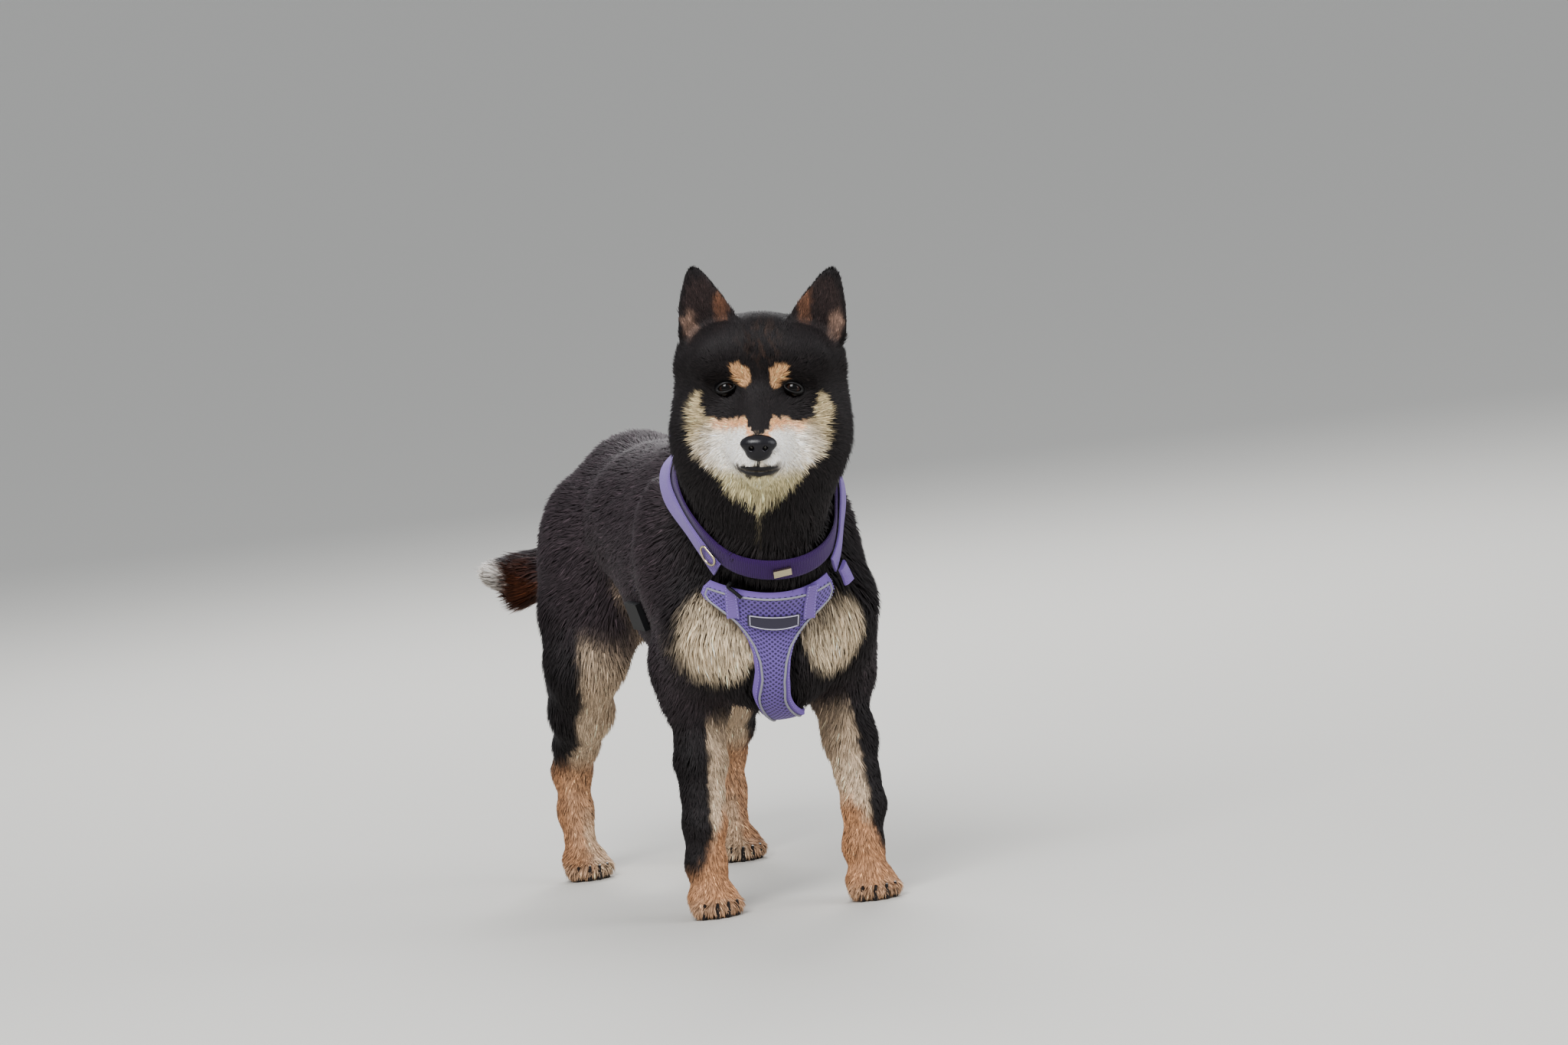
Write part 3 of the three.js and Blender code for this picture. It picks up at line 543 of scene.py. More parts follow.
def markings(p, normal, w):
    """The coat's colour at points."""
    p = p + np.stack([noise(p, 9, s) for s in (1, 2, 3)], 1) * 1.5
    h = head_local(p)
    x, y, z = h.T
    ax = np.abs(x)
    head = w["head"]
    body = w["trunk"] + w["neck"] * 0.35
    colour = np.tile(BLACK, (len(p), 1))
    colour = mix(colour, BODY, body * ramp(p[:, 1], -70, 10) + w["tail"] * 0.5)
    # the chest's two patches
    front = ramp(-p[:, 1], 8, 36) * (1 - head)
    right = spot(p[:, 0], p[:, 2], (-52, 238), (31, 38))
    left = spot(p[:, 0], p[:, 2], (44, 230), (28, 34))
    chest = w["trunk"] + w["foreleg_right"] + w["foreleg_left"]
    colour = mix(colour, CHEST, (right + left) * front * chest)
    # the face: pale cheeks and bib below a curve, black above it
    reach = np.interp(-z, *PALE_REACH)
    pale = ramp(reach - ax, -2.5, 2.5) * ramp(-y, -52, -36)
    mask_low = np.interp(ax, *MASK_EDGE)
    pale *= ramp(mask_low - z, -1.5, 2.5)
    colour = mix(colour, CREAM, pale * head)
    colour = mix(colour, BIB, pale * head * ramp(-z, 58, 76))
    white = spot(ax, z, (21, -46), (27, 21), 0.35) * pale
    colour = mix(colour, WHITE, white * head)
    warm = pale * (1 - ramp(mask_low - z, 4, 13)) * (1 - ramp(ax, 34, 44))
    colour = mix(colour, ORANGE, warm * head * 0.85)
    brow = spot(ax - 0.2 * (z - 11), z, (16, 11.5), (7.6, 8.8), 0.22) * ramp(-y, -20, -4)
    colour = mix(colour, BROW, brow * head)
    streak = spot(x, z, (0, 36), (15, 18), 0.6) * ramp(noise(h * [1, 0.2, 0.25], 5, 9), -0.5, 0.6)
    colour = mix(colour, FOREHEAD, streak * head * 0.75)
    # painted shade in the fold where the white muzzle meets the cream cheek
    crease_shade = np.exp(-(((ax - 43) / 4) ** 2)) * ramp(-z, 20, 30) * ramp(z, -60, -50) * pale
    colour = mix(colour, CREASE_SHADE, crease_shade * head * 0.55)
    lips = spot(x, z + 65.5 - 0.01 * x**2, (0, 0), (22, 4.6), 0.3) * ramp(-y, 30, 42)
    colour = mix(colour, LIP_BLACK, lips * head * 0.9)
    rims = spot(ax, z, (27, 0.7), (11.5, 7.5), 0.2) * ramp(-y, -8, -2)
    colour = mix(colour, EYE_RIM, rims * head)
    # the neck under the bib stays black
    colour = mix(colour, BLACK, w["neck"] * ramp(-p[:, 1], 30, 60) * (1 - pale) * 0.9)
    # the ears: dark backs, the cup tan towards the crown and grey outwards
    for side, name in ((-1, "ear_right"), (1, "ear_left")):
        base = ear_frame(side)
        u, _, up = ((p - base[:3, 3]) @ np.linalg.inv(base)[:3, :3].T).T
        facing = (normal @ base[:3, :3])[:, 1]
        cup = ramp(-facing, 0.25, 0.6) * w[name] * ramp(50 - up, 0, 9)
        cup *= spot(u, up, (-1, 14), (21, 38), 0.16)
        colour = mix(colour, EAR_DARK, cup)
        colour = mix(colour, EAR_TAN, cup * spot(u, up, (-11, 22), (6, 14), 0.5) * 0.8)
        colour = mix(colour, EAR_GREY, cup * spot(u, up, (15, 8), (6, 10), 0.5) * 0.8)
    # the legs
    for name, at in LEGS.items():
        side = -1 if "right" in name else 1
        share = w[name]
        z0 = p[:, 2]
        middle = np.interp(z0, [0, 78, 190], [at["paw"][0], at["mid"][0], at["top"][0]])
        outward = (p[:, 0] - middle) * side
        if name.startswith("fore"):
            pale_leg = ramp(-outward, -3, 4) * ramp(172 - z0, 0, 22)
            colour = mix(colour, LEG_CREAM, share * pale_leg)
            low = ramp(66 - z0 - 1.8 * np.clip(outward, -14, 14), -8, 18)
            colour = mix(colour, TAN, share * low)
        else:
            ahead = -normal[:, 1]
            pale_leg = ramp(ahead * 12 - outward + 7, -2, 9) * ramp(236 - z0, 0, 30)
            colour = mix(colour, LEG_CREAM, share * pale_leg)
            colour = mix(colour, TAN, share * ramp(112 - z0, 0, 26) * 0.85)
            colour = mix(colour, LEG_CREAM, share * ramp(70 - z0, 0, 30) * ramp(-outward, -4, 4) * 0.6)
        colour = mix(colour, LEG_CREAM, share * ramp(20 - z0, 0, 12) * 0.35)
    # belly, breech and tail
    inner = ramp(-normal[:, 2], 0.5, 0.9) * ramp(p[:, 1], 180, 230) * w["trunk"]
    colour = mix(colour, LEG_CREAM, inner * 0.7)
    breech = spot(p[:, 0], p[:, 2], (CX, 265), (30, 44), 0.4) * ramp(p[:, 1], 330, 350) * w["trunk"]
    colour = mix(colour, CREAM, breech * 0.7)
    under = ramp(-normal[:, 2], -0.25, 0.35) * w["tail"] + ramp(-normal[:, 1], 0.3, 0.8) * w["tail"] * 0.6
    colour = mix(colour, RUST, under)
    colour = mix(colour, TAIL_TIP, w["tail"] * ramp(-p[:, 0], 100, 112))
    return colour


def paint(mesh, colours):
    """Gives each point of a mesh its colour."""
    layer = mesh.color_attributes.new("tint", "FLOAT_COLOR", "POINT")
    flat = np.concatenate([colours, np.ones((len(colours), 1))], 1).astype(np.float32)
    layer.data.foreach_set("color", flat.ravel())


# %% Nodes and materials
FINISHES = dict(
    rough="Roughness",
    metal="Metallic",
    shine="Specular IOR Level",
    sheen="Sheen Weight",
    sheen_rough="Sheen Roughness",
    wet="Coat Weight",
    wet_rough="Coat Roughness",
)


def add_node(tree, kind, sources=(), **settings):
    """A node with its settings, and a value for each socket in sources or an output to link to it."""
    node = tree.nodes.new(kind)
    for name, value in settings.items():
        setattr(node, name, value)
    for socket, value in dict(sources).items():
        if isinstance(value, bpy.types.NodeSocket):
            tree.links.new(value, node.inputs[socket])
        else:
            node.inputs[socket].default_value = value
    return node


def new_material(name, **finish):
    """A material with the values in finish, its node tree and its shader."""
    m = bpy.data.materials.new(name)
    m.use_nodes = True
    shader = m.node_tree.nodes["Principled BSDF"]
    for label, value in finish.items():
        shader.inputs[FINISHES[label]].default_value = value
    return m, m.node_tree, shader


def tinted_material(name, **finish):
    """A material that takes its colour from the mesh."""
    m, tree, shader = new_material(name, **finish)
    tint = add_node(tree, "ShaderNodeAttribute", attribute_name="tint")
    tree.links.new(tint.outputs["Color"], shader.inputs["Base Color"])
    return m


def plain_material(name, hex_code, rough, metal=0.0):
    """A material of one colour."""
    m, _, shader = new_material(name, rough=rough, metal=metal)
    shader.inputs["Base Color"].default_value = (*linear(hex_code), 1)
    return m


# Hair has a faint shine, and the skin under it is duller
fur = tinted_material("fur", rough=0.62, shine=0.35, sheen=0.05, sheen_rough=0.5)
skin_fur = tinted_material("skin", rough=0.7, shine=0.35, sheen=0.0, sheen_rough=0.5)
print("materials of fur and skin:", fur.name, skin_fur.name)

# %% The skin's place and colour
# painted shade: the skin under the tufts is painted darker than the fur above it, as the coat shades it
SHADE_UNDER_FUR = 0.8  # of the fur's own colour
skin_points = envelope - skin_normal * depth_skin[:, None]
skin_points[:, 2] = np.maximum(skin_points[:, 2], FLOOR_GAP["skin"])
skin_mesh.vertices.foreach_set("co", to_row(skin_points).ravel())
paint(skin_mesh, markings(envelope, skin_normal, w_skin) * SHADE_UNDER_FUR)
skin_mesh.materials.append(skin_fur)
smooth(skin_mesh)
skin_mesh.update()
skin = new_object("skin", skin_mesh)
flesh = ["trunk", "neck", "head", "ear_right", "ear_left", "tail", *LEGS]
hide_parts(*flesh)
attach(skin, "root")
print("skin triangles:", sum(len(f.vertices) - 2 for f in skin_mesh.polygons))

# %% [markdown]
# ## What the dog wears
# A padded plate on the chest, a pad on the back, four straps of webbing and a collar. The bands are
# laid on levels of the field, as cloth lies on fur, and the girth straps lie deeper, so that the
# fur covers them. Each grid of points becomes a closed slab with its own unwrap.

# %% Bands
# How far each piece lies from the solids' surface, and the cloth's thickness
LEVEL = dict(plate=2.6, collar=2.2, strap=5.8, girth=-6.0, pad=3.4)
WEB = 2.4
PLATE_THICK = 4.5
SHARP_EDGE = 50  # degrees


def slab(name, inner, outer, closed=False, scale=(1.0, 1.0)):
    """A closed mesh between two grids of points, with the unwrap in millimetres of the band."""
    rows, cols = inner.shape[:2]
    verts = np.concatenate([inner.reshape(-1, 3), outer.reshape(-1, 3)])
    last = rows if closed else rows - 1

    def at(side, i, j):
        return (side * rows + i % rows) * cols + j

    faces, uv = [], []

    def quad(corners, spots):
        faces.append(corners)
        uv.extend(spots)

    for i in range(last):
        for j in range(cols - 1):
            box = [(i, j), (i + 1, j), (i + 1, j + 1), (i, j + 1)]
            quad([at(1, *c) for c in box], box)
            quad([at(0, *c) for c in box[::-1]], box[::-1])
        for j, order in ((0, 1), (cols - 1, -1)):
            ring = [(0, i), (0, i + 1), (1, i + 1), (1, i)][::order]
            quad([at(s, k, j) for s, k in ring], [(k, j + 0.3 * s) for s, k in ring])
    if not closed:
        for i, order in ((0, -1), (rows - 1, 1)):
            for j in range(cols - 1):
                ring = [(0, j), (0, j + 1), (1, j + 1), (1, j)][::order]
                quad([at(s, i, k) for s, k in ring], [(i + 0.3 * s, k) for s, k in ring])
    mesh = bpy.data.meshes.new(name)
    mesh.from_pydata(to_row(verts).tolist(), [], faces)
    layer = mesh.uv_layers.new(name="weave")
    layer.data.foreach_set("uv", (np.array(uv, float) * scale).ravel())
    turn_outwards(mesh)
    smooth(mesh)
    mesh.set_sharp_from_angle(angle=math.radians(SHARP_EDGE))
    return new_object(name, mesh)


def catmull(points, count, closed=False):
    """Points evenly spaced along a smooth path."""
    pts = np.array(points, float)
    if closed:
        pts = np.concatenate([pts[-1:], pts, pts[:2]])
    else:
        pts = np.concatenate([2 * pts[:1] - pts[1:2], pts, 2 * pts[-1:] - pts[-2:-1]])
    fine = []
    for a, b, c, d in zip(pts, pts[1:], pts[2:], pts[3:]):
        t = np.linspace(0, 1, 24, endpoint=False)[:, None]
        square, cube = 2 * a - 5 * b + 4 * c - d, 3 * b - a - 3 * c + d
        fine.append(0.5 * (2 * b + (c - a) * t + square * t**2 + cube * t**3))
    fine = np.concatenate([*fine, pts[-2:-1]])
    run = np.r_[0, np.cumsum(np.linalg.norm(np.diff(fine, axis=0), axis=1))]
    at = np.linspace(0, run[-1], count + 1)[: count if closed else count + 1]
    return np.stack([np.interp(at, run, fine[:, c]) for c in range(3)], 1), run[-1]


def band_grid(path, width, level, count, closed=False, thick=WEB, cols=9):
    """The inner and outer points of a band laid along a path."""
    near = onto(worn_field, np.array(path, float), level)
    line, length = catmull(near, count, closed)
    line = onto(worn_field, line, level)
    along = np.roll(line, -1, 0) - np.roll(line, 1, 0) if closed else np.gradient(line, axis=0)
    across = np.cross(along, slope(worn_field, line))
    across /= np.linalg.norm(across, axis=1, keepdims=True)
    steps = np.linspace(-width / 2, width / 2, cols)
    inner = np.stack([onto(worn_field, line + across * s, level, 3) for s in steps], 1)
    lift = slope(worn_field, inner.reshape(-1, 3)).reshape(inner.shape)
    body = np.ones(cols)
    body[[0, -1]] = 0.55
    return inner, inner + lift * thick * body[None, :, None], length


# %% Collar and straps
collar_middle = np.array([-4.0, -58.0, 349.0])
collar_up = np.array([0.08, -0.6, 0.8])
collar_up /= np.linalg.norm(collar_up)
collar_ahead = np.cross(collar_up, [1, 0, 0])
collar_ahead /= np.linalg.norm(collar_ahead)
collar_side = np.cross(collar_ahead, collar_up)
COLLAR_RADIUS, COLLAR_WIDTH, COLLAR_STEPS = 66, 20, 150
turns = np.linspace(0, 2 * np.pi, 16, endpoint=False)
collar_path = [
    collar_middle + COLLAR_RADIUS * (np.sin(a) * collar_side + np.cos(a) * collar_ahead) for a in turns
]
inner, outer, length = band_grid(collar_path, COLLAR_WIDTH, LEVEL["collar"], COLLAR_STEPS, closed=True)
collar = slab("collar_band", inner, outer, closed=True, scale=(length / COLLAR_STEPS, COLLAR_WIDTH / 8))
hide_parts("collar")

# Points that each strap is laid over, from the plate or the back pad on
STRAPS = {
    "neck_strap_right": [(-51, -102, 297), (-58, -91, 317), (-60, -60, 344), (-54, -8, 374), (-34, 32, 398)],
    "neck_strap_left": [(28, -102, 291), (38, -96, 304), (50, -78, 323), (57, -10, 366), (38, 32, 398)],
    "girth_strap_right": [(-20, 58, 400), (-64, 62, 360), (-88, 70, 290), (-74, 77, 215), (-12, 84, 172)],
    "girth_strap_left": [(26, 58, 400), (70, 62, 360), (94, 70, 290), (80, 77, 215), (18, 84, 172)],
}
STRAP_WIDTH, STRAP_STEPS = 19, 70
straps = []
for name, path in STRAPS.items():
    level = LEVEL["girth" if name.startswith("girth") else "strap"]
    inner, outer, length = band_grid(path, STRAP_WIDTH, level, STRAP_STEPS)
    strap = slab(name + "_web", inner, outer, scale=(length / STRAP_STEPS, STRAP_WIDTH / 8))
    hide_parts(name)
    straps.append(strap)
print("bands:", 1 + len(straps))

# %% Chest plate and back pad
PLATE_CENTRE = np.array([CX - 19, 40, 262.0])
PLATE_TILT = 0.11
PLATE_RADIUS = 130
# In degrees: its top edge in the middle, how far that edge rises at its sides, and its lower end
PLATE_TOP, PLATE_RISE, PLATE_END = 3.5, 5.5, -93
PLATE_DRIFT = 32  # how far its lower end lies to the dog's left
SEARCH_STEPS = 22  # halvings that find a surface along a line
PLATE_LENGTH = 235
# How far down and under the plate, from 0 to 1, and its half width there
PROFILE = [
    (0, 42), (0.02, 49.5), (0.045, 53), (0.07, 50), (0.1, 40.5), (0.13, 31), (0.165, 23.5),
    (0.21, 17), (0.26, 13.3), (0.32, 12), (0.4, 13.5), (0.5, 16), (0.6, 17), (1, 17),
]
plate_s, plate_half = np.array(PROFILE, float).T


def plate_points(s, q, level):
    """Points of the chest plate: s down and under from the top edge, q across."""
    s, q, level = np.broadcast_arrays(np.asarray(s, float), q, level)
    shape = s.shape
    s, q, level = s.ravel(), q.ravel(), level.ravel()
    across = q * np.interp(s, plate_s, plate_half)
    top = PLATE_TOP + PLATE_RISE * q * q
    angle = np.radians(top + (PLATE_END - top) * s)
    drift = PLATE_DRIFT * ramp(s, 0.38, 0.66)
    tilt = PLATE_TILT * across * np.maximum(0, np.cos(angle))
    way = np.stack([across + drift, -np.cos(angle) * PLATE_RADIUS, np.sin(angle) * PLATE_RADIUS - tilt], 1)
    way /= np.linalg.norm(way, axis=1, keepdims=True)
    near, far = np.full(len(s), 20.0), np.full(len(s), 260.0)
    for _ in range(SEARCH_STEPS):
        middle = (near + far) / 2
        out = worn_field(PLATE_CENTRE + way * middle[:, None]) > level
        far, near = np.where(out, middle, far), np.where(out, near, middle)
    return (PLATE_CENTRE + way * near[:, None]).reshape(*shape, 3)


PLATE_ROWS = 110
S = (np.linspace(0, 1, PLATE_ROWS + 1) ** 1.5)[:, None]
Q = np.linspace(-1, 1, 61)[None, :]
edge = np.minimum(np.minimum(S * 60, (1 - S) * 60), (1 - np.abs(Q)) * 14)
puff = PLATE_THICK * (0.45 + 0.55 * ramp(edge, 0, 1.6)) - 0.9 * ramp(edge, 2.3, 3.4)
inner_plate = plate_points(S, Q, LEVEL["plate"])
outer_plate = plate_points(S, Q, LEVEL["plate"] + puff)
plate = slab("harness_pad", inner_plate, outer_plate)
uv = np.empty(len(plate.data.loops) * 2)
plate.data.uv_layers[0].data.foreach_get("uv", uv)
uv = uv.reshape(-1, 2)
s_at = (np.clip(uv[:, 0], 0, PLATE_ROWS) / PLATE_ROWS) ** 1.5
flat = np.stack([s_at * PLATE_LENGTH, (uv[:, 1] / 30 - 1) * np.interp(s_at, plate_s, plate_half)], 1)
plate.data.uv_layers[0].data.foreach_set("uv", flat.ravel())
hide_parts("harness_plate")
PAD_WIDTH, PAD_STEPS, PAD_THICK = 54, 24, 4
pad_path = [(CX, 36, 400), (CX, 58, 400), (CX, 92, 398)]
inner, outer, length = band_grid(pad_path, PAD_WIDTH, LEVEL["pad"], PAD_STEPS, thick=PAD_THICK, cols=21)
pad = slab("withers_pad", inner, outer, scale=(length / PAD_STEPS, PAD_WIDTH / 20))
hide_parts("back_pad")
print("points of the plate:", len(plate.data.vertices), "of the pad:", len(pad.data.vertices))

# %% [markdown]
# ## The coat
# The coat is dense and short, with stiff outer hairs. Single hairs would be too many for solid
# meshes, so each tuft is a small folded blade with a bend in it. Its root is on the skin, it
# follows the lie of the coat there, and its tip comes near the solids' surface. Fur near a band
# lies pressed flat, and a ruff of longer tufts hangs over the collar's upper edge.

# %% Where the tufts grow
halves = [list(f.vertices)[:3] for f in skin_mesh.polygons]
halves += [[f.vertices[i] for i in (0, 2, 3)] for f in skin_mesh.polygons if len(f.vertices) == 4]
corner = np.array(halves)
tri = skin_points[corner]
area = np.linalg.norm(np.cross(tri[:, 1] - tri[:, 0], tri[:, 2] - tri[:, 0]), axis=1) / 2
shares = {name: w_skin[name][corner].mean(1) for name in w_skin}
centre = envelope[corner].mean(1)
h_at = head_local(centre)
FACE_BACK = 26  # how far behind the eyes the face's coat ends
faces_front = shares["head"] * (h_at[:, 1] < FACE_BACK)

pressing = [collar, plate, pad, *(o for o in straps if "girth" not in o.name)]
spots = [v.co for o in pressing for v in o.data.vertices]
bands = kdtree.KDTree(len(spots))
for count, place in enumerate(spots):
    bands.insert(place, count)
bands.balance()
print("triangles of the skin:", len(corner), "points of the bands:", len(spots))


# %% Lie of the coat
def lie(p, normal, w):
    """Which way the coat lies at points: back from the nose, along the body and down the legs."""
    h = head_local(p)
    away = h - [0, -66, -40]
    away /= np.linalg.norm(away, axis=1, keepdims=True)
    away[:, 2] -= 0.25 * ramp(-h[:, 2], 20, 60)
    away = away @ head_frame[:3, :3].T
    back = np.tile([0.0, 0.9, -0.42], (len(p), 1))
    chest = ramp(-p[:, 1], 20, 70)[:, None]
    back = back * (1 - chest) + np.array([0, 0.1, -1.0]) * chest
    neck = np.array([0, 0.45, -0.9])
    legs = np.array([0, 0.22, -1.0])
    out = -p[:, 0]
    turned = 0.3 - 0.6 * ramp(out, 60, 100)
    tail = np.stack([-ramp(out, -30, 30) - 0.1, turned, -0.6 + 0.7 * ramp(out, 40, 90)], 1)
    flow = w["head"][:, None] * away + w["trunk"][:, None] * back
    flow = flow + w["neck"][:, None] * neck + w["tail"][:, None] * tail
    end = (w["tail"] * ramp(out, 78, 100))[:, None]
    flow = flow * (1 - end) + np.array([-1, -0.35, 0.25]) * end
    for name in LEGS:
        flow = flow + w[name][:, None] * legs
    for side, name in ((-1, "ear_right"), (1, "ear_left")):
        up = ear_frame(side)[:3, :3] @ np.array([0.15, 0, 1.0])
        flow = flow + w[name][:, None] * up
    flow -= normal * (flow * normal).sum(1, keepdims=True)
    return flow / np.maximum(np.linalg.norm(flow, axis=1, keepdims=True), 1e-6)


# %% Tufts
# A blade has three points at its root, three at its bend and one tip
BLADE_POINTS = 7
BLADE_FACES = np.array([[0, 1, 4], [0, 4, 3], [1, 2, 5], [1, 5, 4], [3, 4, 6], [4, 5, 6]])
# painted shade and light along each blade: darker at the root, where the tufts shade each other, lighter at
# the tip and a little lighter along the fold
BLADE_PAINTED_SHADE = np.array([0.72, 0.78, 0.72, 0.98, 1.04, 0.98, 1.12])  # darker at the root
BLADE_PATCH = np.array([[-1, -1], [0, -1], [1, -1], [-1, 0], [0, 0], [1, 0], [0, 1]]) * 0.0015
RUFF_LENGTH, RUFF_RISE = 30.0, 5.0
PRESSED_WITHIN, FREE_BEYOND = 5, 13  # millimetres from a band
# partly pale hair tips, partly a painted sheen on the coat
PALE_HAIRS_AND_SHEEN = 0.06  # share of tufts that are twice as light
# How much each tuft's length, width, rise and shade may differ from the coat's there
LENGTHS, WIDTHS, RISES, SHADES = (0.75, 1.2), (0.75, 1.25), (0.72, 1.02), (0.62, 1.45)
# The lie of the coat wanders over this many millimetres and this far, and each tuft strays a bit
SWIRL_SIZE, SWIRL, STRAY = 34, 0.22, 0.13
BEND = (0.66, 0.45)  # how much of its rise and of its run a blade has at its bend


def tufts(name, chance, number, unwrap, slot_name):
    """One piece of the coat: number tufts, rooted where chance is high."""
    hangs = name == "coat_ruff"
    weight = area * chance
    pick = rng.choice(len(corner), size=number, p=weight / weight.sum())
    a, b = rng.random((2, number))
    a, b = np.where(a + b > 1, 1 - a, a), np.where(a + b > 1, 1 - b, b)
    bary = np.stack([1 - a - b, a, b], 1)[:, :, None]
    root = (skin_points[corner[pick]] * bary).sum(1)
    tip_level = (envelope[corner[pick]] * bary).sum(1)
    normal = (skin_normal[corner[pick]] * bary).sum(1)
    normal /= np.linalg.norm(normal, axis=1, keepdims=True)
    w = {k: (v[corner[pick]] * bary[:, :, 0]).sum(1) for k, v in w_skin.items()}
    depth, length, width = coat(tip_level, normal, w)
    if hangs:
        depth, length, width = depth + RUFF_RISE, np.full(number, RUFF_LENGTH), width * 0.9
    length = length * rng.uniform(*LENGTHS, number)
    flow = lie(tip_level, normal, w)
    if hangs:
        flow = -collar_up - normal * (normal @ -collar_up)[:, None]
    side = np.cross(normal, flow)
    swirl = noise(tip_level, SWIRL_SIZE, 21) * SWIRL + rng.normal(0, STRAY, number)
    flow = flow + side * swirl[:, None]
    flow /= np.linalg.norm(flow, axis=1, keepdims=True)
    side = np.cross(normal, flow)
    side /= np.linalg.norm(side, axis=1, keepdims=True)
    near = np.array([bands.find(Vector(v))[2] for v in to_row(tip_level)]) / MM
    free = np.ones(number) if hangs else ramp(near, PRESSED_WITHIN, FREE_BEYOND)
    length *= 0.42 + 0.58 * free
    rise = np.minimum(depth * rng.uniform(*RISES, number), length * 0.75) * (0.45 + 0.55 * free)
    run = np.sqrt(np.maximum(length**2 - rise**2, 1))
    halfway = tip_level if hangs else tip_level + flow * (length * 0.5)[:, None]
    colour = markings(halfway, normal, w)
    half = side * (width / 2 * rng.uniform(*WIDTHS, number))[:, None]
    fold = normal * (width * 0.28)[:, None]
    middle = root + normal * (rise * BEND[0])[:, None] + flow * (run * BEND[1])[:, None]
    tip = root + normal * (rise * rng.uniform(0.9, 1.0, number))[:, None] + flow * run[:, None]
    lower = [root - half, root + fold, root + half]
    upper = [middle - half * 0.8, middle + fold, middle + half * 0.8]
    verts = np.stack([*lower, *upper, tip], 1)
    verts[:, :, 2] = np.maximum(verts[:, :, 2], FLOOR_GAP["tufts"])
    start = (np.arange(number) * BLADE_POINTS)[:, None, None]
    faces = (start + BLADE_FACES[None]).reshape(-1, 3)
    mesh = bpy.data.meshes.new(name)
    mesh.vertices.add(number * BLADE_POINTS)
    mesh.vertices.foreach_set("co", to_row(verts.reshape(-1, 3)).ravel())
    mesh.loops.add(len(faces) * 3)
    mesh.loops.foreach_set("vertex_index", faces.ravel())
    mesh.polygons.add(len(faces))
    mesh.polygons.foreach_set("loop_start", np.arange(len(faces)) * 3)
    mesh.update(calc_edges=True)
    smooth(mesh)
    # some tufts twice as light: pale tips, and a painted sheen
    lighter = 1 + (rng.random(number) < PALE_HAIRS_AND_SHEEN)
    # each tuft's own tone, times the painted shade and light along its blade
    shade = (rng.uniform(*SHADES, number) * lighter)[:, None, None] * BLADE_PAINTED_SHADE[None, :, None]
    lift = np.maximum(colour, 0.004)[:, None, :] * shade
    paint(mesh, np.clip(lift, 0, 1).reshape(-1, 3))
    spot_at = unwrap(tip_level, normal)
    uv = np.clip(spot_at, 0.002, 0.998)[:, None, :] + BLADE_PATCH[None]
    layer = mesh.uv_layers.new(name="OFBake")
    layer.data.foreach_set("uv", uv.reshape(-1, 2)[faces.ravel()].ravel())
    mesh.materials.append(fur)
    piece = new_object(name, mesh)
    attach(piece, "root")
    return piece


# %% Maps of the coat
def scaled(v, lo, hi):
    """0 at lo and 1 at hi, and straight between."""
    return np.clip((v - lo) / (hi - lo), 0, 1)


def round_axis(axis, centre_a, centre_b, lo, hi):
    """An unwrap round an axis: the turn about it, and the place along it."""
    a, b = [i for i in range(3) if i != axis]

    def unwrap(p, _normal):
        turn = np.arctan2(p[:, b] - centre_b, p[:, a] - centre_a) / (2 * np.pi) + 0.5
        return np.stack([turn, scaled(p[:, axis], lo, hi)], 1)

    return unwrap


def face_unwrap(p, _normal):
    """The face seen from the front, spread out towards its sides."""
    h = head_local(p)
    flat = np.stack([h[:, 0], h[:, 2] + 20], 1)
    r = np.linalg.norm(flat, axis=1, keepdims=True)
    out = flat / np.maximum(r, 1e-6) * (r * 0.8 + np.maximum(h[:, 1:2] + 40, 0) * 0.5)
    return 0.5 + out / 190


def legs_unwrap(names, z_top):
    """Each leg unrolled in its own half of the map."""

    def unwrap(p, _normal):
        side = p[:, 0] > CX
        centre = np.where(side[:, None], LEGS[names[1]]["mid"], LEGS[names[0]]["mid"])
        turn = np.arctan2(p[:, 1] - centre[:, 1], p[:, 0] - centre[:, 0]) / (2 * np.pi) + 0.5
        return np.stack([(turn * 0.48 + side * 0.5 + 0.01), scaled(p[:, 2], 0, z_top)], 1)

    return unwrap


def ears_unwrap(p, normal):
    """The ears' backs and cups side by side."""
    side = p[:, 0] > -3
    inner = (normal @ head_frame[:3, :3])[:, 1] < 0
    h = head_local(p)
    u = np.clip(np.where(side, (h[:, 0] - 12) / 70, (-h[:, 0] - 12) / 70), 0, 1)
    return np.stack([(u * 0.23 + 0.01 + side * 0.5 + inner * 0.25), scaled(h[:, 2], 28, 110)], 1)


# %% Pieces of the coat
ears_share = shares["ear_right"] + shares["ear_left"]
forelegs = shares["foreleg_right"] + shares["foreleg_left"]
hindlegs = shares["hindleg_right"] + shares["hindleg_left"]
front_of_face = np.clip(1.15 - (h_at[:, 1] + 66) / 110, 0.45, 1.15)
face_share = faces_front * front_of_face
neck_share = shares["neck"] + shares["head"] * (h_at[:, 1] >= FACE_BACK)
trunk_all = shares["trunk"]
SHOULDER_END = 110
above_collar = (centre - collar_middle) @ collar_up
ahead_of_collar = (centre - collar_middle) @ collar_ahead / COLLAR_RADIUS
lowest = np.where(ahead_of_collar > 0, 4, -2)
at_collar = (above_collar > lowest) * (above_collar < 24) * (centre[:, 2] < 400)
ruff = (shares["neck"] + shares["head"]) * at_collar
neck_map = round_axis(2, -8, -110, 250, 510)
shoulder_map = round_axis(1, CX, 285, -110, SHOULDER_END)
flank_map = round_axis(1, CX, 300, SHOULDER_END, 380)
foreleg_map = legs_unwrap(("foreleg_right", "foreleg_left"), 230)
hindleg_map = legs_unwrap(("hindleg_right", "hindleg_left"), 270)
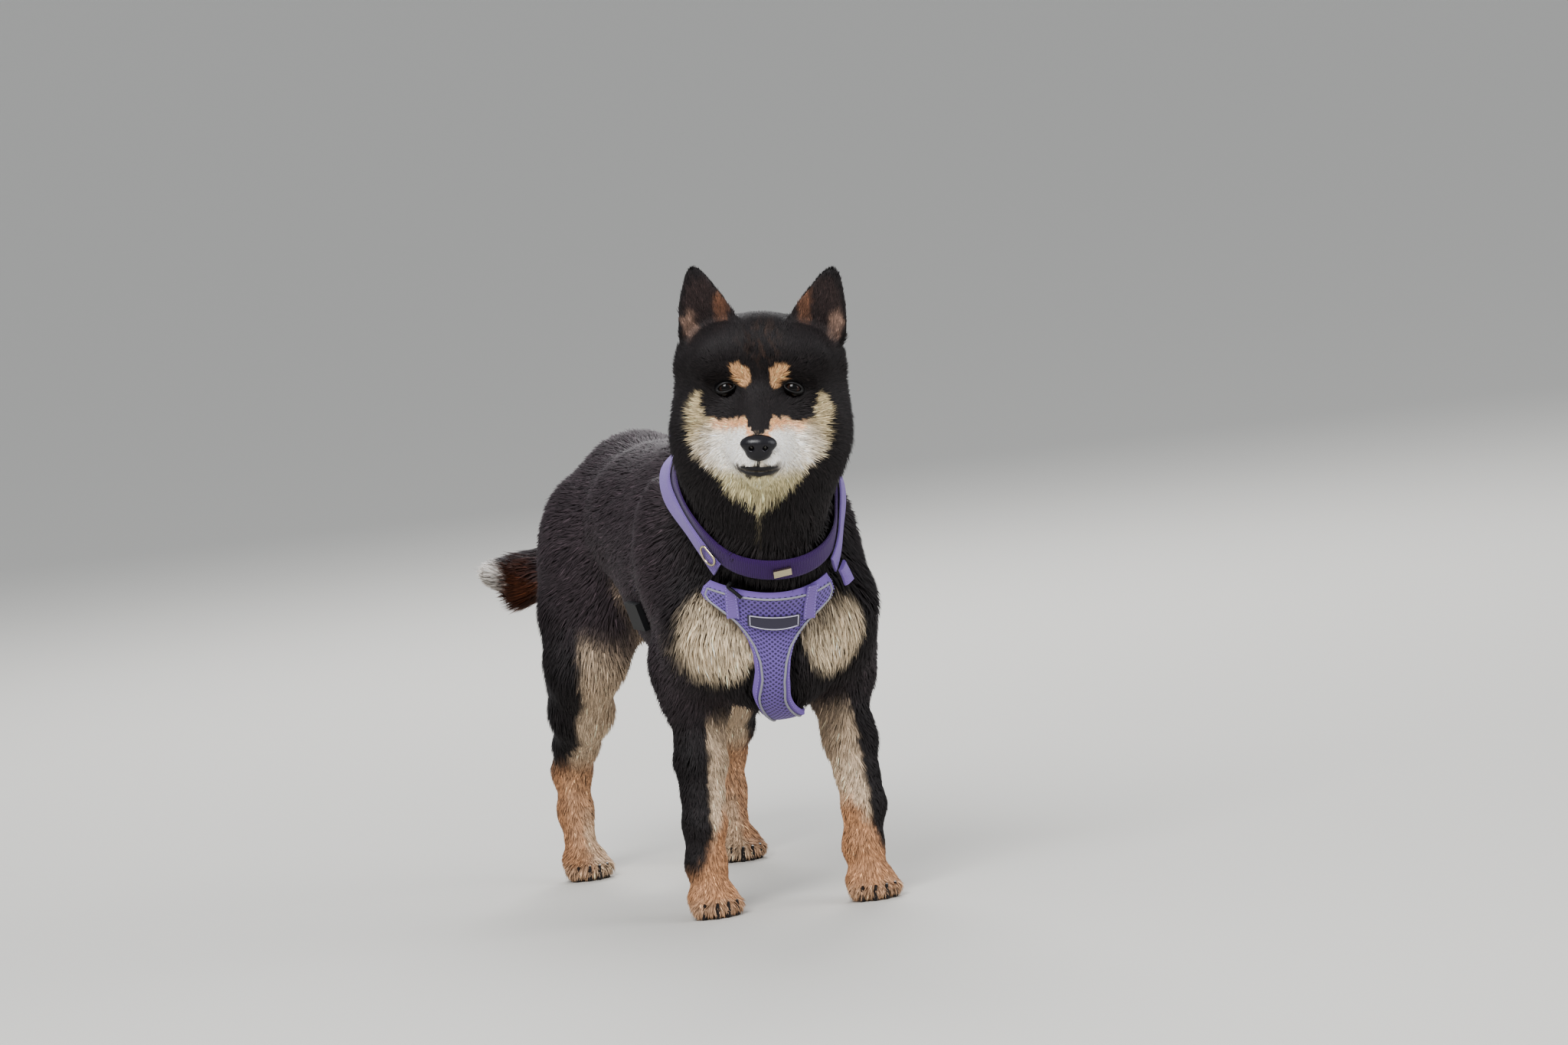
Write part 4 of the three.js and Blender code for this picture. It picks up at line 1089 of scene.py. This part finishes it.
# Each piece of the coat: where it grows, how many tufts, its map and its slot
PIECES = [
    ("coat_face_right", face_share * (h_at[:, 0] < 0), 32000, face_unwrap, "coat_black"),
    ("coat_face_left", face_share * (h_at[:, 0] >= 0), 32000, face_unwrap, "coat_black"),
    ("coat_neck", neck_share, 32000, neck_map, "coat_black"),
    ("coat_shoulders", trunk_all * (centre[:, 1] < SHOULDER_END), 32000, shoulder_map, "coat_black"),
    ("coat_flanks", trunk_all * (centre[:, 1] >= SHOULDER_END), 32500, flank_map, "coat_black"),
    ("coat_forelegs", forelegs, 30000, foreleg_map, "coat_tan"),
    ("coat_hindlegs", hindlegs, 31000, hindleg_map, "coat_tan"),
    ("coat_tail", shares["tail"], 9000, round_axis(0, 388, 270, -125, 20), "coat_black"),
    ("coat_ears", ears_share, 14000, ears_unwrap, "coat_black"),
    ("coat_ruff", ruff, 5000, round_axis(2, -8, -60, 250, 510), "coat_black"),
]
coat_pieces = []
for name, chance, number, unwrap, slot_name in PIECES:
    chance = np.maximum(chance, 0) + 1e-9 * (chance > 0)
    coat_pieces.append(tufts(name, chance, number, unwrap, slot_name))
print("tufts:", sum(len(o.data.polygons) // 6 for o in coat_pieces))

# %% [markdown]
# ## Eyes, lids and nose
# The eyes are where the solids put them, dark brown round a large pupil, and the lids close round
# them in an almond. The nose is a damp pebbled pad with two nostrils, over a dark line and lips.

# %% Eyes and lids
def grid_mesh(name, grid, material):
    """A mesh from a grid of points in millimetres, joined round."""
    rows, cols = grid.shape[:2]
    faces = [
        (i * cols + j, i * cols + (j + 1) % cols, (i + 1) * cols + (j + 1) % cols, (i + 1) * cols + j)
        for i in range(rows - 1)
        for j in range(cols)
    ]
    mesh = bpy.data.meshes.new(name)
    mesh.from_pydata(to_row(grid.reshape(-1, 3)).tolist(), [], faces)
    turn_outwards(mesh, merge=True)
    smooth(mesh)
    mesh.materials.append(material)
    return new_object(name, mesh)


def from_head(p):
    """Points of the head's own frame in the dog's."""
    return np.asarray(p, float) @ head_frame[:3, :3].T + head_frame[:3, 3]


# A wet cornea: a clear coat gives the sharp highlight
eye_material = tinted_material("eye", rough=0.08, shine=0.2, wet=0.3, wet_rough=0.02)
lid_material = plain_material("lid_rim", "#0c0a0b", 0.5)

EYE_WHITE, EYE_BROWN, EYE_PUPIL = (linear(c) for c in ("#120c0c", "#30190c", "#050404"))
EYE_BULGE = 0.7  # of the clear front over the ball
LID_SLANT = 15  # degrees
# How much wider each ring of a lid is than its opening, and how far it stands off the ball
LID_RINGS = ((1.0, -0.6), (1.0, 0.55), (1.14, 0.95), (1.4, 0.8), (1.8, 0.0), (2.3, -1.8), (2.8, -4.0))
theta = np.linspace(0, np.pi, 41)[:, None]
phi = np.linspace(0, 2 * np.pi, 64, endpoint=False)[None, :]
for side, label in ((-1, "right"), (1, "left")):
    middle = EYE * [side, 1, 1]
    gaze = np.array([side * 0.05, -1, 0.02])
    gaze /= np.linalg.norm(gaze)
    right = np.cross(gaze, [0, 0, 1.0])
    right /= np.linalg.norm(right)
    up = np.cross(right, gaze)
    bulge = EYE_RADIUS + EYE_BULGE * np.exp(-((theta / 0.5) ** 2)) + 0 * phi
    sideways = (np.sin(theta) * np.cos(phi))[..., None] * right
    upwards = (np.sin(theta) * np.sin(phi))[..., None] * up
    ball_points = middle + bulge[..., None] * (np.cos(theta)[..., None] * gaze + sideways + upwards)
    eye = grid_mesh("eyeball_" + label, from_head(ball_points), eye_material)
    angle = theta + 0 * phi
    iris = 1 - ramp(angle, 0.52, 0.6)
    pupil = 1 - ramp(angle, 0.31, 0.35)
    ray = 0.75 + 0.25 * np.sin(phi * 23 + 3 * np.sin(phi * 5))
    tone = EYE_WHITE * (1 - iris[..., None]) + EYE_BROWN * (iris * ray)[..., None]
    tone = tone * (1 - pupil[..., None]) + EYE_PUPIL * pupil[..., None]
    rim = np.exp(-(((angle - 0.56) / 0.05) ** 2))[..., None]
    tone = tone * (1 - 0.8 * rim)
    co = np.empty(len(eye.data.vertices) * 3)
    eye.data.vertices.foreach_get("co", co)
    tree = kdtree.KDTree(angle.size)
    for i, v in enumerate(to_row(from_head(ball_points.reshape(-1, 3)))):
        tree.insert(Vector(v), i)
    tree.balance()
    order = [tree.find(Vector(v))[1] for v in co.reshape(-1, 3)]
    paint(eye.data, tone.reshape(-1, 3)[order])
    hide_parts("eye_" + label)
    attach(eye, "root")
    # the lids: a shell just over the ball, open in a slanting almond
    a = np.linspace(0, 2 * np.pi, 72, endpoint=False)
    x, z = np.cos(a), np.sin(a)
    slant = math.radians(LID_SLANT) * side
    open_x = 6.6 * x
    open_z = np.where(z > 0, 2.9, 2.6) * np.sign(z) * np.abs(z) ** 1.25
    ox = open_x * np.cos(slant) - open_z * np.sin(slant)
    oz = open_x * np.sin(slant) + open_z * np.cos(slant) + 0.2
    rows = []
    for grow, out in LID_RINGS:
        gx, gz = ox * (1 + (grow - 1) * 0.8), oz * (1 + (grow - 1) * 1.25)
        depth = np.sqrt(np.maximum((EYE_RADIUS + EYE_BULGE) ** 2 - np.minimum(gx**2 + gz**2, 80), 4))
        direction = gx[:, None] * right + gz[:, None] * up + depth[:, None] * gaze
        direction /= np.linalg.norm(direction, axis=1, keepdims=True)
        rows.append(middle + direction * (EYE_RADIUS + EYE_BULGE + out))
    lids = grid_mesh("lids_" + label, from_head(np.array(rows)), lid_material)
    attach(lids, "root")

print("eyes and lids made")


# %% Nose
def nose_shape(p):
    """The nose pad's field, in the head's frame."""
    q = p - NOSE
    pad_shape = blend(4, ball((0, 0, 3), (15, 8.5, 7.5)), ball((0, 1, -4), (10.5, 7.5, 7)))(q)
    holes = both(bone((5.2, -9.5, -1.2), (6.0, -2, 0.2), 2.3, 1.6))(q)
    slits = both(bone((7.5, -8.2, -2.2), (11.8, -5.0, -1.0), 1.3, 0.8))(q)
    groove = bone((0, -9.2, -10), (0, -10.2, 2), 0.7, 0.5)(q)
    x, z = q[:, 0], q[:, 2]
    pebbles = 0.14 * np.sin(x * 3.1 + np.sin(z * 2.3)) * np.sin(z * 3.3 + np.sin(x * 2.1))
    out = -soft(-pad_shape, soft(holes, slits, 1.0), 1.2)
    return -soft(-out, groove, 1.2) + pebbles


NOSE_CELL, NOSE_REACH = 0.75, 19
base = NOSE - NOSE_REACH
n3 = int(2 * NOSE_REACH / NOSE_CELL)
line = np.arange(n3) * NOSE_CELL
pts = np.stack(np.meshgrid(line, line, line, indexing="ij"), -1).reshape(-1, 3) + base
small = vdb.FloatGrid(3.0)
small.copyFromArray(np.clip(nose_shape(pts), -3, 3).reshape(n3, n3, n3).astype(np.float32))
points, quads = small.convertToQuads(0.0)
nose_mesh = bpy.data.meshes.new("nose_pad")
nose_points = to_row(from_head(points.astype(float) * NOSE_CELL + base))
nose_mesh.from_pydata(nose_points.tolist(), [], quads[:, ::-1].tolist())
turn_outwards(nose_mesh)
smooth(nose_mesh)
nose_mesh.materials.append(plain_material("nose_leather", "#16141a", 0.32))
nose = new_object("nose_pad", nose_mesh)
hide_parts("nose")
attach(nose, "root")
print("faces of the nose:", len(nose_mesh.polygons))


# %% Lips and claws
def front_point(x, z, level):
    """Points of the face's front, in the head's frame, standing level out from the coat's face."""
    near, far = np.full(len(x), -75.0), np.full(len(x), -5.0)
    for _ in range(SEARCH_STEPS):
        middle_y = (near + far) / 2
        outside = face_shape(np.stack([x, middle_y, z], 1)) > level
        near, far = np.where(outside, middle_y, near), np.where(outside, far, middle_y)
    return np.stack([x, near, z], 1)


LIP_HALF, LIP_Z, LIP_CURVE, LIP_THICK = 22.5, -65.5, 0.01, 4.8
lip_rows = []
for x in np.linspace(-LIP_HALF, LIP_HALF, 43):
    taper = math.sqrt(max(1 - (x / (LIP_HALF + 0.5)) ** 2, 0.01))
    t = np.linspace(1, -1, 17)
    out = -1.8 + (2.6 * np.sqrt(np.maximum(1 - t**2, 0)) - 1.7 * np.exp(-((t / 0.16) ** 2))) * taper
    t = np.concatenate([t, [-0.6, 0.0, 0.6]])
    out = np.concatenate([out, [-4.0, -4.0, -4.0]])
    z = LIP_Z + LIP_CURVE * x**2 + LIP_THICK * t * taper
    lip_rows.append(front_point(np.full(len(z), x), z, out))
lip_material = plain_material("lips", "#120e10", 0.42)
lips = grid_mesh("lips", from_head(np.array(lip_rows)), lip_material)
line_rows = []
for z in np.linspace(-54.0, -63.5, 12):
    x = np.array([-1.3, -0.6, 0.0, 0.6, 1.3, 0.0])
    out = np.array([-0.6, 0.5, -0.3, 0.5, -0.6, -3.0])
    line_rows.append(front_point(x, np.full(6, z), out))
philtrum = grid_mesh("philtrum", from_head(np.array(line_rows)), lip_material)
for piece in (lips, philtrum):
    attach(piece, "root")

claw_material = plain_material("claw", "#1d1819", 0.35)
for name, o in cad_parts.items():
    if name.startswith("claw"):
        o.data.materials.clear()
        o.data.materials.append(claw_material)
print("points of the lips:", len(lips.data.vertices))

# %% [markdown]
# ## Cloth, piping and stitches
# The plate is padded air mesh with a bound edge, a grey piping set in from it, and a short strip
# of webbing on each side of its top. The weave reads each piece's own unwrap, so that it follows
# the piece round the body. Piping and stitches follow paths, so Geometry Nodes make them.

# %% Cloth materials
MESH_CELLS = 0.36  # to the millimetre: the cells of an air mesh are about 2.8 mm apart
WAVE = 0.22  # of the wave texture: the ribs of a webbing are about 1.4 mm apart


def cloth(name, hex_code, kind, dark, scale=1.0):
    """Woven or meshed cloth on the band's own unwrap, in millimetres."""
    m, tree, shader = new_material(name, rough=0.75, sheen=0.15)
    uv = add_node(tree, "ShaderNodeUVMap", uv_map="weave")
    placing = {"Vector": uv.outputs["UV"], "Scale": (scale, scale, 1)}
    if kind == "mesh":
        placing["Rotation"] = (0, 0, math.radians(45))
        turned = add_node(tree, "ShaderNodeMapping", placing).outputs["Vector"]
        cells = add_node(tree, "ShaderNodeTexVoronoi", {"Vector": turned, "Scale": 1.0, "Randomness": 0.0})
        limits = {"Value": cells.outputs["Distance"], "From Min": 0.26, "From Max": 0.4}
    else:
        turned = add_node(tree, "ShaderNodeMapping", placing).outputs["Vector"]
        ribs = add_node(tree, "ShaderNodeTexWave", {"Vector": turned, "Scale": WAVE, "Distortion": 0.4})
        limits = {"Value": ribs.outputs["Fac"]}
    pattern = add_node(tree, "ShaderNodeMapRange", limits).outputs["Result"]
    # painted shade: the low places of the pattern, the mesh's holes and the grooves between ribs, take the
    # colour times dark
    base = linear(hex_code)
    tones = {"A": (*(base * dark), 1), "B": (*base, 1), "Factor": pattern}
    colour = add_node(tree, "ShaderNodeMix", tones, data_type="RGBA")
    tree.links.new(colour.outputs["Result"], shader.inputs["Base Color"])
    bump = add_node(tree, "ShaderNodeBump", {"Strength": 0.5, "Distance": 0.0005, "Height": pattern})
    tree.links.new(bump.outputs["Normal"], shader.inputs["Normal"])
    return m


# Knitted polyester, pale on its net and painted with shade in its holes; the edge is bound in plain matt
# tape
air_mesh = cloth("air_mesh", "#735fa4", "mesh", dark=0.28, scale=MESH_CELLS)
edging = plain_material("edging", "#7862a6", 0.8)
# Woven polyester, with fine ribs across the band and painted shade between them
webbing = cloth("lavender_webbing", "#826bb0", "weave", dark=0.72)
collar_web = cloth("collar_webbing", "#3a0a5e", "weave", dark=0.55)
# Smooth piping that reflects a little, and sewing thread
reflective = plain_material("reflective_piping", "#8f8f98", 0.35)
thread = plain_material("thread", "#a79bdc", 0.6)
# Moulded plastic, and soft moulded rubber with a paler rim
dark_plastic = plain_material("dark_plastic", "#0c0c0f", 0.6)
label_rubber = plain_material("label_rubber", "#3a3746", 0.5)
label_edge = plain_material("label_edge", "#b9b5c6", 0.5)
# Polished metal with a warm tone
metal = plain_material("ring_metal", "#c9bfa2", 0.22, 1.0)
print("materials of cloth:", [m.name for m in (air_mesh, webbing, collar_web)])

# %% Cloth on the bands
EDGING_WIDTH = 3.6
mesh = plate.data
mesh.materials.append(air_mesh)
mesh.materials.append(edging)
index = np.zeros(len(mesh.polygons), np.int32)
rows, cols = len(S), Q.shape[1]
for f in mesh.polygons:
    v = f.vertices[0]
    if v < rows * cols or f.vertices[2] < rows * cols:
        index[f.index] = 1
    else:
        i, j = divmod(v - rows * cols, cols)
        s_here, half_here = S[i, 0], np.interp(S[i, 0], plate_s, plate_half)
        inset = min(half_here * (1 - abs(Q[0, j])), PLATE_LENGTH * s_here)
        index[f.index] = 1 if inset < EDGING_WIDTH else 0
mesh.polygons.foreach_set("material_index", index)
pad.data.materials.append(air_mesh)
collar.data.materials.append(collar_web)
for strap in straps:
    strap.data.materials.append(webbing)
for piece in (plate, pad, collar, *straps):
    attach(piece, "root")
print("faces of the plate in its edging:", int(index.sum()))


# %% Cords and stitches
STITCH_SHAPE = (2.6, 1, 0.8)  # a stitch is longer than it is wide, and a little flat


def path_group(name, stitch):
    """A node group that turns a path into a cord, or into a row of stitches."""
    tree = bpy.data.node_groups.new(name, "GeometryNodeTree")
    tree.interface.new_socket("Geometry", in_out="INPUT", socket_type="NodeSocketGeometry")
    ids = {}
    for label, kind in (("Size", "Float"), ("Step", "Float"), ("Material", "Material")):
        socket = tree.interface.new_socket(label, in_out="INPUT", socket_type="NodeSocket" + kind)
        ids[label] = socket.identifier
    tree.interface.new_socket("Geometry", in_out="OUTPUT", socket_type="NodeSocketGeometry")
    given = add_node(tree, "NodeGroupInput").outputs
    curve = add_node(tree, "GeometryNodeMeshToCurve", {"Mesh": given["Geometry"]}).outputs["Curve"]
    if stitch:
        spacing = {"Curve": curve, "Length": given["Step"]}
        spaced = add_node(tree, "GeometryNodeResampleCurve", spacing, mode="LENGTH")
        grain = {"Segments": 6, "Rings": 4, "Radius": given["Size"]}
        tangent = add_node(tree, "GeometryNodeInputTangent").outputs["Tangent"]
        align = add_node(tree, "FunctionNodeAlignRotationToVector", {"Vector": tangent}, axis="X")
        copying = {
            "Points": spaced.outputs["Curve"],
            "Instance": add_node(tree, "GeometryNodeMeshUVSphere", grain).outputs["Mesh"],
            "Rotation": align.outputs["Rotation"],
            "Scale": STITCH_SHAPE,
        }
        made = add_node(tree, "GeometryNodeInstanceOnPoints", copying).outputs["Instances"]
    else:
        ring = {"Resolution": 8, "Radius": given["Size"]}
        profile = add_node(tree, "GeometryNodeCurvePrimitiveCircle", ring).outputs["Curve"]
        tube = {"Curve": curve, "Profile Curve": profile, "Fill Caps": True}
        made = add_node(tree, "GeometryNodeCurveToMesh", tube).outputs["Mesh"]
    real = add_node(tree, "GeometryNodeRealizeInstances", {"Geometry": made})
    painting = {"Geometry": real.outputs["Geometry"], "Material": given["Material"]}
    done = add_node(tree, "GeometryNodeSetMaterial", painting)
    add_node(tree, "NodeGroupOutput", {"Geometry": done.outputs["Geometry"]})
    return tree, ids


cord_group, cord_ids = path_group("cord along a path", False)
stitch_group, stitch_ids = path_group("stitches along a path", True)


def along(name, paths, size, material, slot_name, step_mm=0.0):
    """A piece made along paths of points in millimetres: a cord, or stitches step_mm apart."""
    verts, edges = [], []
    for path, closed in paths:
        path = np.asarray(path)
        n0 = len(verts)
        verts.extend(to_row(path).tolist())
        edges.extend((n0 + i, n0 + i + 1) for i in range(len(path) - 1))
        if closed:
            edges.append((n0 + len(path) - 1, n0))
    source = bpy.data.meshes.new(name + "_path")
    source.from_pydata(verts, edges, [])
    piece = new_object(name, source)
    group, ids = (stitch_group, stitch_ids) if step_mm else (cord_group, cord_ids)
    modifier = piece.modifiers.new("along", "NODES")
    modifier.node_group = group
    modifier[ids["Size"]] = size * MM
    modifier[ids["Step"]] = max(step_mm, 1.0) * MM
    modifier[ids["Material"]] = material
    graph = bpy.context.evaluated_depsgraph_get()
    made = bpy.data.meshes.new_from_object(piece.evaluated_get(graph))
    piece.modifiers.remove(modifier)
    piece.data = made
    smooth(made)
    made.update()
    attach(piece, "root")
    return piece


print("groups:", cord_group.name, "and", stitch_group.name)

# %% Edges of the plate
FACE_LEVEL = LEVEL["plate"] + PLATE_THICK - 0.9
PIPING_INSET, BINDING_INSET = 4.4, 1.8
STRIP_OUT, STRIP_WIDTH, STRIP_THICK = 27, 11, 1.3


def plate_path(s, q, lift):
    """Points on the plate's face, with a lift off it."""
    return plate_points(np.asarray(s, float), np.asarray(q, float), FACE_LEVEL + lift)


s_side = np.linspace(0.022, 0.97, 90)
q_side = 1 - PIPING_INSET / np.interp(s_side, plate_s, plate_half)
q_top = np.linspace(-q_side[0], q_side[0], 30)[1:-1]
loop_s = np.r_[s_side[::-1], np.full(len(q_top), s_side[0]), s_side]
loop_q = np.r_[-q_side[::-1], q_top, q_side]
piping_path = plate_path(loop_s, loop_q, 0.5)
along("reflective_piping", [(piping_path, False)], 1.05, reflective, "harness_mesh")

for side, label in ((-1, "right"), (1, "left")):
    s0 = np.linspace(0.004, 0.115, 24)
    q0 = side * STRIP_OUT / np.interp(s0, plate_s, plate_half)
    line = plate_path(s0, q0, 0.4)
    ahead = np.gradient(line, axis=0)
    out = slope(worn_field, line)
    wide = np.cross(ahead, out)
    wide /= np.linalg.norm(wide, axis=1, keepdims=True)
    steps = np.linspace(-STRIP_WIDTH / 2, STRIP_WIDTH / 2, 5)
    inner = line[:, None] + wide[:, None] * steps[None, :, None]
    outer = inner + out[:, None] * STRIP_THICK
    strip = slab("plate_webbing_" + label, inner, outer, scale=(1.6, STRIP_WIDTH / 4))
    strip.data.materials.append(webbing)
    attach(strip, "root")
    rim = [(line + wide * d + out * 1.4, False) for d in (-4.3, 4.3)]
    along("plate_stitches_" + label, rim, 0.32, thread, "harness_webbing", step_mm=2.6)

s_bind = np.linspace(0.01, 0.97, 120)
for side, label in ((-1, "right"), (1, "left")):
    q_bind = side * (1 - BINDING_INSET / np.interp(s_bind, plate_s, plate_half))
    edge_path = plate_path(s_bind, q_bind, 0.75)
    along("edge_stitches_" + label, [(edge_path, False)], 0.3, thread, "harness_mesh", step_mm=2.8)
print("points of the piping's path:", len(piping_path))

# %% Label
# The label's place on the plate: down it, and across it at the label's upper edge
LABEL_TOP, LABEL_BOTTOM = 0.078, 0.124
LABEL_ACROSS = (-0.36, 0.4)
BORDER_S, BORDER_Q = (0.081, 0.121), (-0.33, 0.37)


def even_width(s, q):
    """Places across the plate that keep one width down it."""
    return q * np.interp(LABEL_TOP, plate_s, plate_half) / np.interp(s, plate_s, plate_half)


label_s = np.linspace(LABEL_TOP, LABEL_BOTTOM, 9)[:, None]
label_q = even_width(label_s, np.linspace(*LABEL_ACROSS, 19)[None, :])
level = LEVEL["plate"] + PLATE_THICK
label_back = plate_points(label_s, label_q, level - 0.5)
label_piece = slab("label_patch", label_back, plate_points(label_s, label_q, level + 1.5))
label_piece.data.materials.append(label_rubber)
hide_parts("harness_label")
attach(label_piece, "root")
top, low = BORDER_S
start, stop = BORDER_Q
border_s = np.r_[np.full(12, top), np.linspace(top, low, 6), np.full(12, low), np.linspace(low, top, 6)]
there, back = np.linspace(start, stop, 12), np.linspace(stop, start, 12)
border_q = np.r_[there, np.full(6, stop), back, np.full(6, start)]
border_path = plate_points(border_s, even_width(border_s, border_q), level + 1.55)
along("label_border", [(border_path, True)], 0.5, label_edge, "label")
print("points of the label:", len(label_piece.data.vertices))

# %% Hook, keeper, rings and buckles
HOOK_LIFT, KEEPER_WIDTH, KEEPER_LEVEL, KEEPER_THICK = 1.6, 12, 9.2, 3.6
hook_path = [(-42, -108, 288), (-47, -106, 282), (-43, -108, 277), (-38, -109, 272)]
hook = onto(worn_field, np.array(hook_path, float), level + HOOK_LIFT)
along("strap_hook", [(catmull(hook, 24)[0], False)], 1.5, dark_plastic, "buckle")
keeper_path = [(38, -98, 287), (46, -94, 277), (50, -90, 268)]
inner, outer, _ = band_grid(keeper_path, KEEPER_WIDTH, KEEPER_LEVEL, 14, thick=KEEPER_THICK, cols=7)
keeper = slab("strap_keeper", inner, outer, scale=(1.2, 2))
keeper.data.materials.append(webbing)
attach(keeper, "root")


def ring_piece(node, name, radius, tube):
    """A smooth ring with one straight side, where the CAD's faceted one is."""
    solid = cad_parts[node]
    v = np.array([solid.matrix_world @ p.co for p in solid.data.vertices])
    centre = (v.min(0) + v.max(0)) / 2
    _, _, axes3 = np.linalg.svd(v - v.mean(0))
    a = np.linspace(0, 2 * np.pi, 64, endpoint=False)
    flat = np.maximum(np.cos(a), -0.72)
    path = centre + radius * MM * (flat[:, None] * axes3[0] + np.sin(a)[:, None] * axes3[1])
    piece = along(name, [(path / MM + ORIGIN, True)], tube, metal, "ring_metal")
    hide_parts(node)


ring_piece("collar_ring", "collar_d_ring", 8.6, 1.1)
ring_piece("pad_ring", "withers_d_ring", 9, 1.6)
fittings = {"collar_slide": metal, "buckle_right": dark_plastic, "buckle_left": dark_plastic}
for name, look in fittings.items():
    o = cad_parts[name]
    o.data.materials.clear()
    o.data.materials.append(look)
    bevel = o.modifiers.new("rounded", "BEVEL")
    bevel.width = 0.0009
    bevel.segments = 3
print("harness finished")

# %% [markdown]
# ## Floor, light and camera
# A pale floor and plain soft studio light. The camera has a long lens and stands in front, to the
# dog's right and a little above, with the same tilt as in the picture.

# %% Floor and light
FLOOR_HALF = 60.0  # in metres, so that its edge is out of sight
floor_mesh = bpy.data.meshes.new("floor")
floor_corners = [(a * FLOOR_HALF, b * FLOOR_HALF, 0) for a, b in ((-1, -1), (1, -1), (1, 1), (-1, 1))]
floor_mesh.from_pydata(floor_corners, [], [(0, 1, 2, 3)])
floor_mesh.materials.append(plain_material("floor", "#c9c7c2", 0.85))
floor = new_object("floor", floor_mesh)

world = bpy.data.worlds.new("studio")
bpy.context.scene.world = world
world.use_nodes = True
world.node_tree.nodes["Background"].inputs["Color"].default_value = (*linear("#dfe2e6"), 1)
world.node_tree.nodes["Background"].inputs["Strength"].default_value = 0.75


LIGHT_AIM = Vector((0, -0.05, 0.28))  # in the trunk, just behind the shoulders


def soft_light(name, place, power, size):
    """A square lamp that faces the dog."""
    lamp = bpy.data.lights.new(name, "AREA")
    lamp.energy = power
    lamp.size = size
    o = new_object(name, lamp)
    o.location = place
    o.rotation_euler = (LIGHT_AIM - Vector(place)).to_track_quat("-Z", "Y").to_euler()


soft_light("key", (-1.6, -2.2, 2.6), 95, 1.6)
soft_light("fill", (2.4, -2.0, 1.4), 38, 2.2)
soft_light("back", (0.8, 2.4, 2.2), 60, 1.6)
print("lamps:", len(bpy.data.lights))

# %% Camera
VIEW_AZIMUTH, VIEW_ELEVATION, VIEW_TILT = -17.5, 7.5, 6.8
DISTANCE, PIXELS_PER_MM, WIDE, HIGH = 7500.0, 1.57, 2048, 1365
SENSOR = 36
AIM, AIM_PIXEL = np.array([0.0, -20.0, 0.0]), (1034, 1184)
az, el, roll = (math.radians(a) for a in (VIEW_AZIMUTH, VIEW_ELEVATION, VIEW_TILT))
back = np.array([math.sin(az) * math.cos(el), -math.cos(az) * math.cos(el), math.sin(el)])
right = np.cross([0, 0, 1], back)
right /= np.linalg.norm(right)
up = np.cross(back, right)
right, up = math.cos(roll) * right - math.sin(roll) * up, math.sin(roll) * right + math.cos(roll) * up
focal = PIXELS_PER_MM * DISTANCE
ray = Vector((AIM_PIXEL[0] - WIDE / 2, HIGH / 2 - AIM_PIXEL[1], -focal)).normalized()
swing = np.array(ray.rotation_difference(Vector((0, 0, -1))).to_matrix())
turn = np.stack([right, up, back], 1) @ swing
camera = new_object("camera", bpy.data.cameras.new("camera"))
camera.data.sensor_width = SENSOR
camera.data.lens = focal / WIDE * SENSOR
camera.data.clip_end = 200
camera.matrix_world = Matrix.Translation(to_row(AIM + DISTANCE * back)) @ Matrix(turn).to_4x4()
bpy.context.scene.camera = camera
bpy.context.scene.view_settings.view_transform = "AgX"
bpy.context.scene.view_settings.look = "AgX - Medium High Contrast"
print("lens in millimetres:", round(camera.data.lens, 1))
